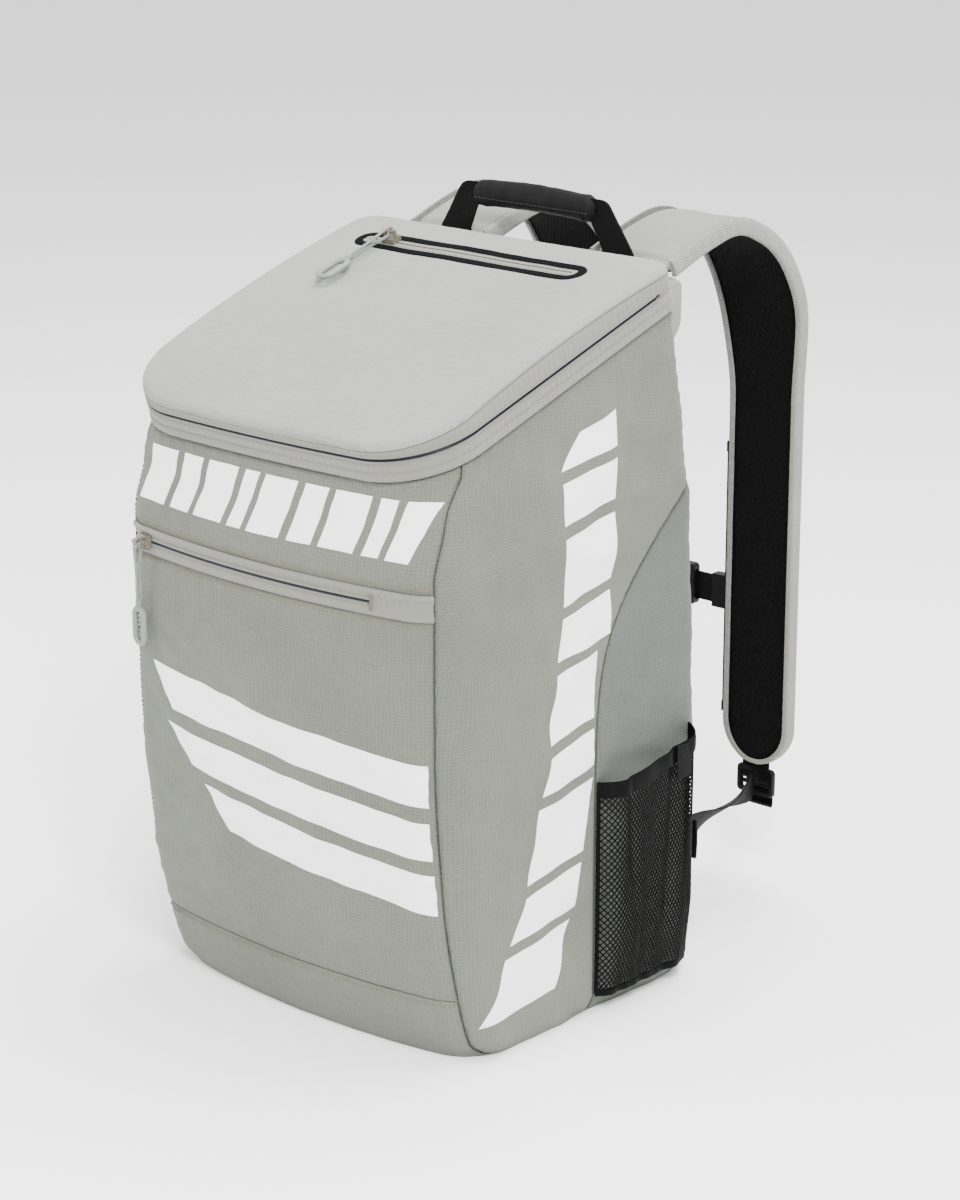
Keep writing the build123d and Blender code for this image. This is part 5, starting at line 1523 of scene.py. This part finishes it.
for side, flip in (("right", 1), ("left", -1)):
    centre = (STRAP_X * flip, 282.0, 84.0)
    rounded_frame(f"{side}_adjuster_frame", "harness", centre, (34, 22), (26, 14), 4.6, 3.5,
        black_plastic,
                  node=(f"{side}_ladder_lock",), slot="black_plastic")
    for label, dz in (("upper", 2.2), ("lower", -2.6)):
        x = np.linspace(-13.6, 13.6, 12)
        bar = np.stack([STRAP_X * flip + x, np.full(12, 282.0), np.full(12, 84.0 + dz)], -1)
        thin_cord(f"{side}_adjuster_bar_{label}", "harness", bar, 1.75, black_plastic, count=10,
            slot="black_plastic")

# --- back padding, yoke -------------------------------------------------------


def wall_y(z):
    """The back wall's face at a height, straight from station to station as in the CAD model."""
    heights = np.append(STATIONS[:, 0], at_mouth(0, LID_V - 2, BAND_W)[2])
    places = np.append(BACK_Y - STATIONS[:, 2], at_mouth(0, LID_V - 2, BAND_W)[1])
    return np.interp(z, heights, places)


def rounded_rectangle(w, h, corner, per_part=35):
    """Offsets (x, z) round a rectangle of half sizes w, h with rounded corners, without the repeated
    end.
    """
    x, z = [], []
    for k, (sx, sz) in enumerate(((1, 1), (-1, 1), (-1, -1), (1, -1))):
        turn = (k + np.linspace(0, 1, per_part, endpoint=False)) * math.pi / 2
        x.append(sx * (w - corner) + corner * np.cos(turn))
        z.append(sz * (h - corner) + corner * np.sin(turn))
        far = np.linspace(0, 1, per_part, endpoint=False)
        end = (k + 1) * math.pi / 2
        ahead = ((-1, 1), (-1, -1), (1, -1), (1, 1))[k]
        from_x, from_z = sx * (w - corner) + corner * math.cos(end), sz * (h
            - corner) + corner * math.sin(end)
        to_x, to_z = ahead[0] * (w - corner) + corner * math.cos(end), ahead[1] * (h
            - corner) + corner * math.sin(end)
        x.append(from_x + (to_x - from_x) * far)
        z.append(from_z + (to_z - from_z) * far)
    return np.concatenate(x), np.concatenate(z)


def wall_cushion(name, x_low, x_high, z_low, z_high, thick, corner, channels, seed):
    """A cushion on the back wall: a rounded rectangle in rings from its middle to its seam, domed,
    with pressed channels.
    """
    cx, cz = (x_low + x_high) / 2, (z_low + z_high) / 2
    w, h = (x_high - x_low) / 2, (z_high - z_low) / 2
    ux, uz = rounded_rectangle(w, h, corner)
    tops = []
    shares = np.concatenate([np.linspace(0.004, 0.9, 60),
        0.9 + 0.1 * np.sin(np.linspace(0.05, 1, 14) * math.pi / 2)])
    for s in shares:
        x, z = cx + ux * s, cz + uz * s
        edge = np.minimum(w * (1 - s) + 0.001, h * (1 - s) + 0.001)
        dome = (1 - np.clip(1 - edge / (thick * 0.9), 0, 1) ** 2.4) ** 0.6
        y = wall_y(z) + 1.2 + (thick - 2.2) * dome
        y = y + 0.35 * soft_noise(x, z, 50.0, seed) * dome
        for c in channels:
            y = y - 2.6 * np.exp(-((z - c) / 3.2) ** 2) * dome
        tops.append(np.stack([x, y, z], -1))
    under = []
    for s in (0.999, 0.7, 0.3, 0.004):
        x, z = cx + ux * s, cz + uz * s
        under.append(np.stack([x, wall_y(z) + 0.35, z], -1))
    return np.array(tops + under)


for side, flip in (("right", 1), ("left", -1)):
    rings = wall_cushion("pad", 18, 122, 150, 440, 11, 16, (222.0, 295.0, 368.0), 90)
    obj = tube(f"{side}_back_cushion", "bag", rings * [flip, 1, 1], [black_mesh], slot="air_mesh",
        crease=75)
    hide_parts("back_pads")
rings = wall_cushion("lumbar", -124, 124, 22, 138, 13, 20, (), 91)
lumbar = tube("lumbar_cushion", "bag", rings, [strap_fabric], slot="strap_fabric", crease=75,
    node=("lumbar_pad",))


def outline_cord(name, x_low, x_high, z_low, z_high, corner, lift, flip=1):
    """Piping round a cushion's foot."""
    w, h = (x_high - x_low) / 2, (z_high - z_low) / 2
    x, z = rounded_rectangle(w, h, corner)
    x = (x_low + x_high) / 2 + np.append(x, x[0])
    z = (z_low + z_high) / 2 + np.append(z, z[0])
    thin_cord(name, "bag", np.stack([x * flip, wall_y(z) + lift, z], -1), 1.9, binding_fabric, count=8,
        slot="strap_fabric")


outline_cord("right_back_piping", 17.5, 122.5, 149.5, 440.5, 16, 1.4)
outline_cord("left_back_piping", 17.5, 122.5, 149.5, 440.5, 16, 1.4, -1)
outline_cord("lumbar_piping", -124.5, 124.5, 21.5, 138.5, 20, 1.4)

foot_y, foot_z = at_mouth(0, LID_V, BAND_W)[1:]
yoke_section = rounded_line([
    (wall_y(450.0) + 0.4, 450.6), (wall_y(470.0) + 0.4, 470.0), (foot_y + 0.6, foot_z), (107.5, 499.6),
    (109.5, 500.6), (124.6, 500.5), (125.9, 499.0), (125.9, 468.0), (wall_y(450.0) + 2.6, 450.6),
], 0.2, 90)
x = np.sin(np.linspace(-1, 1, 90) * math.pi / 2) * 128
soft_end = np.clip((128.001 - np.abs(x)) / 9.0, 0.0, 1) ** 0.45
rings = np.zeros((90, 90, 3))
middle = yoke_section.mean(0)
for j in range(90):
    wave = 0.3 * soft_noise(np.full(90, x[j]), yoke_section[:, 1], 40.0, 95)
    section = middle + (yoke_section - middle) * (0.86 + 0.14 * soft_end[j])
    rings[j] = np.stack([np.full(90, x[j]), np.minimum(section[:, 0] + wave * 0.4, 126.0),
        section[:, 1]], -1)
tube("back_yoke_cover", "bag", rings, [strap_fabric], node=("back_yoke",), slot="strap_fabric", crease=60)
line = np.stack([np.linspace(-122, 122, 60), np.full(60, 126.0), np.full(60, 494.0)], -1)
bead_row("yoke_stitches", "bag", line, np.tile([[0, 1.0, 0]], (60, 1)), 3.4, (2.5, 0.6, 0.6),
    thread_beige)

# --- sternum strap, sliders, pieces inside: CAD shapes with rounded edges -----
def finish_node(node, material, bevel=0.0006):
    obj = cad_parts[node]
    obj.data.materials.clear()
    obj.data.materials.append(material)
    if bevel:
        made = obj.modifiers.new("edges", "BEVEL")
        made.width = bevel
        made.segments = 2
        made.limit_method = "ANGLE"
        made.angle_limit = math.radians(40)
        made.use_clamp_overlap = True
        made.harden_normals = True


for node in ("sternum_rails", "sternum_guides", "sternum_female_buckle", "sternum_male_buckle"):
    finish_node(node, black_plastic)
for node in ("front_zip_slider", "lid_zip_slider", "main_zip_slider_a", "main_zip_slider_b"):
    finish_node(node, slider_metal, 0.0004)
finish_node("base_board", board_object, 0.0005)
finish_node("frame_sheet", sheet_skin, 0.0003)
finish_node("sleeve_divider", divider_cloth, 0.001)
finish_node("front_pocket_backing", divider_cloth, 0)
for label, low, high in (("right", 19.8, 40.0), ("left", -40.0, -36.2)):
    x = np.linspace(low, high, 24)
    line = np.stack([x, np.full(24, 284.0), np.full(24, 227.0)], -1)
    obj = band_along(f"sternum_webbing_{label}", "sternum_strap", line, np.tile([[0, 0, 1.0]], (24, 1)),
                     np.tile([[0, 1.0, 0]], (24, 1)), 21.8, 1.5, black_webbing, slot="black_webbing")
    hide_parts("sternum_webbing")

# --- zip pulls ----------------------------------------------------------------
PULL_CORD = [
    (-44.9, -1.3), (-34.0, -1.6), (-23.5, -1.3), (-13.0, -2.0), (-4.5, -2.7), (2.7, -2.3),
    (2.7, 2.3), (-4.5, 2.7), (-13.0, 2.0), (-23.5, 1.3), (-34.0, 1.6), (-44.9, 1.3),
]


def zip_pull(name, body, pivot, up, out, cord_node, ring_node):
    """A pull: its cord looped round the slider's bar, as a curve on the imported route, and a moulded
    rubber loop on its end.
    """
    pivot, up, out = (np.array(p, float) for p in (pivot, up, out))
    across = np.cross(up, out)
    points = [pivot + up * a + out * b for a, b in PULL_CORD]
    curve = bpy.data.curves.new(f"{name}_braid", "CURVE")
    curve.dimensions = "3D"
    curve.bevel_depth = 0.0011
    curve.bevel_resolution = 5
    curve.resolution_u = 24
    curve.use_fill_caps = True
    spline = curve.splines.new("NURBS")
    spline.points.add(len(points) - 1)
    for place, p in zip(spline.points, points):
        place.co = (*(p * MM), 1)
    spline.order_u = 3
    spline.use_endpoint_u = True
    curve.materials.append(cord_object)
    cord = bpy.data.objects.new(f"{name}_braid", curve)
    bpy.context.scene.collection.objects.link(cord)
    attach(cord, body)
    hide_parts(cord_node)
    # the loop: a round rubber tube on a slot-shaped path, thicker where the cord enters
    t = np.linspace(0, math.tau, 72, endpoint=False)
    radius = 5.6
    a = np.sign(np.sin(t)) * 7.0 * np.clip(np.abs(np.sin(t)) * 6, 0, 1) + radius * np.sin(t)
    b = radius * np.cos(t)
    centre = pivot + up * -59.9
    path = centre + a[:, None] * up + b[:, None] * across
    away = np.sin(t)[:, None] * up + np.cos(t)[:, None] * across
    s = np.linspace(0, math.tau, 14, endpoint=False)
    thick = 2.25 - 0.25 * np.clip(-np.sin(t), 0, 1)
    rings = path[:, None] + thick[:, None, None] * (
        np.cos(s)[None, :, None] * away[:, None] + np.sin(s)[None, :, None] * out[None, None]
    )
    ring = tube(f"{name}_loop", body, rings, [ring_rubber], turn=True, node=(ring_node,),
        slot="pull_ring", crease=80)
    # the sleeve where the two ends meet and a wrap half way
    for label, low, high, wide in (("sleeve", -46.5, -40.5, 2.9), ("wrap", -20.0, -14.5, 2.35)):
        k = np.linspace(0, 1, 9)
        body_line = pivot + up * (low + (high - low) * k)[:, None]
        swell = np.sqrt(np.clip(1 - (2 * k - 1) ** 8, 0.15, 1))
        rings = body_line[:, None] + swell[:, None, None] * (
            np.cos(s)[None, :, None] * across * wide * 0.62 + np.sin(s)[None, :, None] * out * wide
        )
        tube(f"{name}_{label}", body, rings, [ring_rubber if label == "sleeve" else cord_object],
            slot="pull_ring")


front_out = np.array([-0.174558, -0.984647, 0.0])
zip_pull("front_pull", "front_pull", (-118.431375, -157.783471, 327.0), (0, 0, 1), front_out,
    "front_pull_cord", "front_pull_ring")
lid_along = np.array([0, math.cos(LID_TILT), math.sin(LID_TILT)])
zip_pull("lid_pull", "lid_pull", (-80, 54.888944, 517.523049), lid_along, mouth_up, "lid_pull_cord",
    "lid_pull_ring")
zip_pull("main_pull_a", "main_pull_a", (-152.8, 0.694909, 464.262516), (0, 0, 1), (-1, 0, 0),
    "main_pull_cord_a", "main_pull_ring_a")
zip_pull("main_pull_b", "main_pull_b", (-152.8, 25.422379, 472.296958), (0, 0, 1), (-1, 0, 0),
    "main_pull_cord_b", "main_pull_ring_b")

# --- stage --------------------------------------------------------------------
floor_mesh = bpy.data.meshes.new("studio_floor")
floor_mesh.from_pydata([(-6, -6, 0), (6, -6, 0), (6, 6, 0), (-6, 6, 0)], [], [(0, 1, 2, 3)])
floor_paint = bpy.data.materials.new("studio_floor_paint")
floor_paint.use_nodes = True
floor_shader = next(n for n in floor_paint.node_tree.nodes if n.type == "BSDF_PRINCIPLED")
floor_shader.inputs["Base Color"].default_value = (0.95, 0.95, 0.95, 1)
floor_shader.inputs["Roughness"].default_value = 0.9
floor_mesh.materials.append(floor_paint)
floor = bpy.data.objects.new("studio_floor", floor_mesh)
bpy.context.scene.collection.objects.link(floor)

world = bpy.data.worlds.new("studio_light")
world.use_nodes = True
background = next(n for n in world.node_tree.nodes if n.type == "BACKGROUND")
background.inputs["Color"].default_value = (1.0, 1.0, 1.0, 1)
background.inputs["Strength"].default_value = 1.5
bpy.context.scene.world = world


def softbox(name, place, aim, size, power):
    light = bpy.data.lights.new(name, "AREA")
    light.shape = "RECTANGLE"
    light.size, light.size_y = size
    light.energy = power
    obj = bpy.data.objects.new(name, light)
    bpy.context.scene.collection.objects.link(obj)
    place, aim = Vector(place), Vector(aim)
    obj.location = place
    obj.rotation_euler = (aim - place).to_track_quat("-Z", "Y").to_euler()


softbox("key_right", (1.75, -1.35, 2.2), (0, 0, 0.28), (0.9, 0.9), 165)
softbox("fill_left", (-1.9, -1.3, 1.3), (0, 0, 0.25), (1.2, 1.2), 45)
softbox("top_back", (0.2, 0.6, 2.5), (0, 0, 0.35), (1.6, 1.2), 110)

lens = bpy.data.cameras.new("view")
lens.lens = 97.27
lens.sensor_width = 36
lens.clip_start, lens.clip_end = 0.05, 50
camera = bpy.data.objects.new("view", lens)
bpy.context.scene.collection.objects.link(camera)
aim = Vector((0.0656, -0.012, 0.2899))
turn_deg, rise_deg, far = math.radians(41.8), math.radians(16.9), 2.2146
back = Vector((math.sin(turn_deg) * math.cos(rise_deg), -math.cos(turn_deg) * math.cos(rise_deg),
    math.sin(rise_deg)))
camera.location = aim + back * far
camera.rotation_euler = (-back).to_track_quat("-Z", "Y").to_euler()
bpy.context.scene.camera = camera
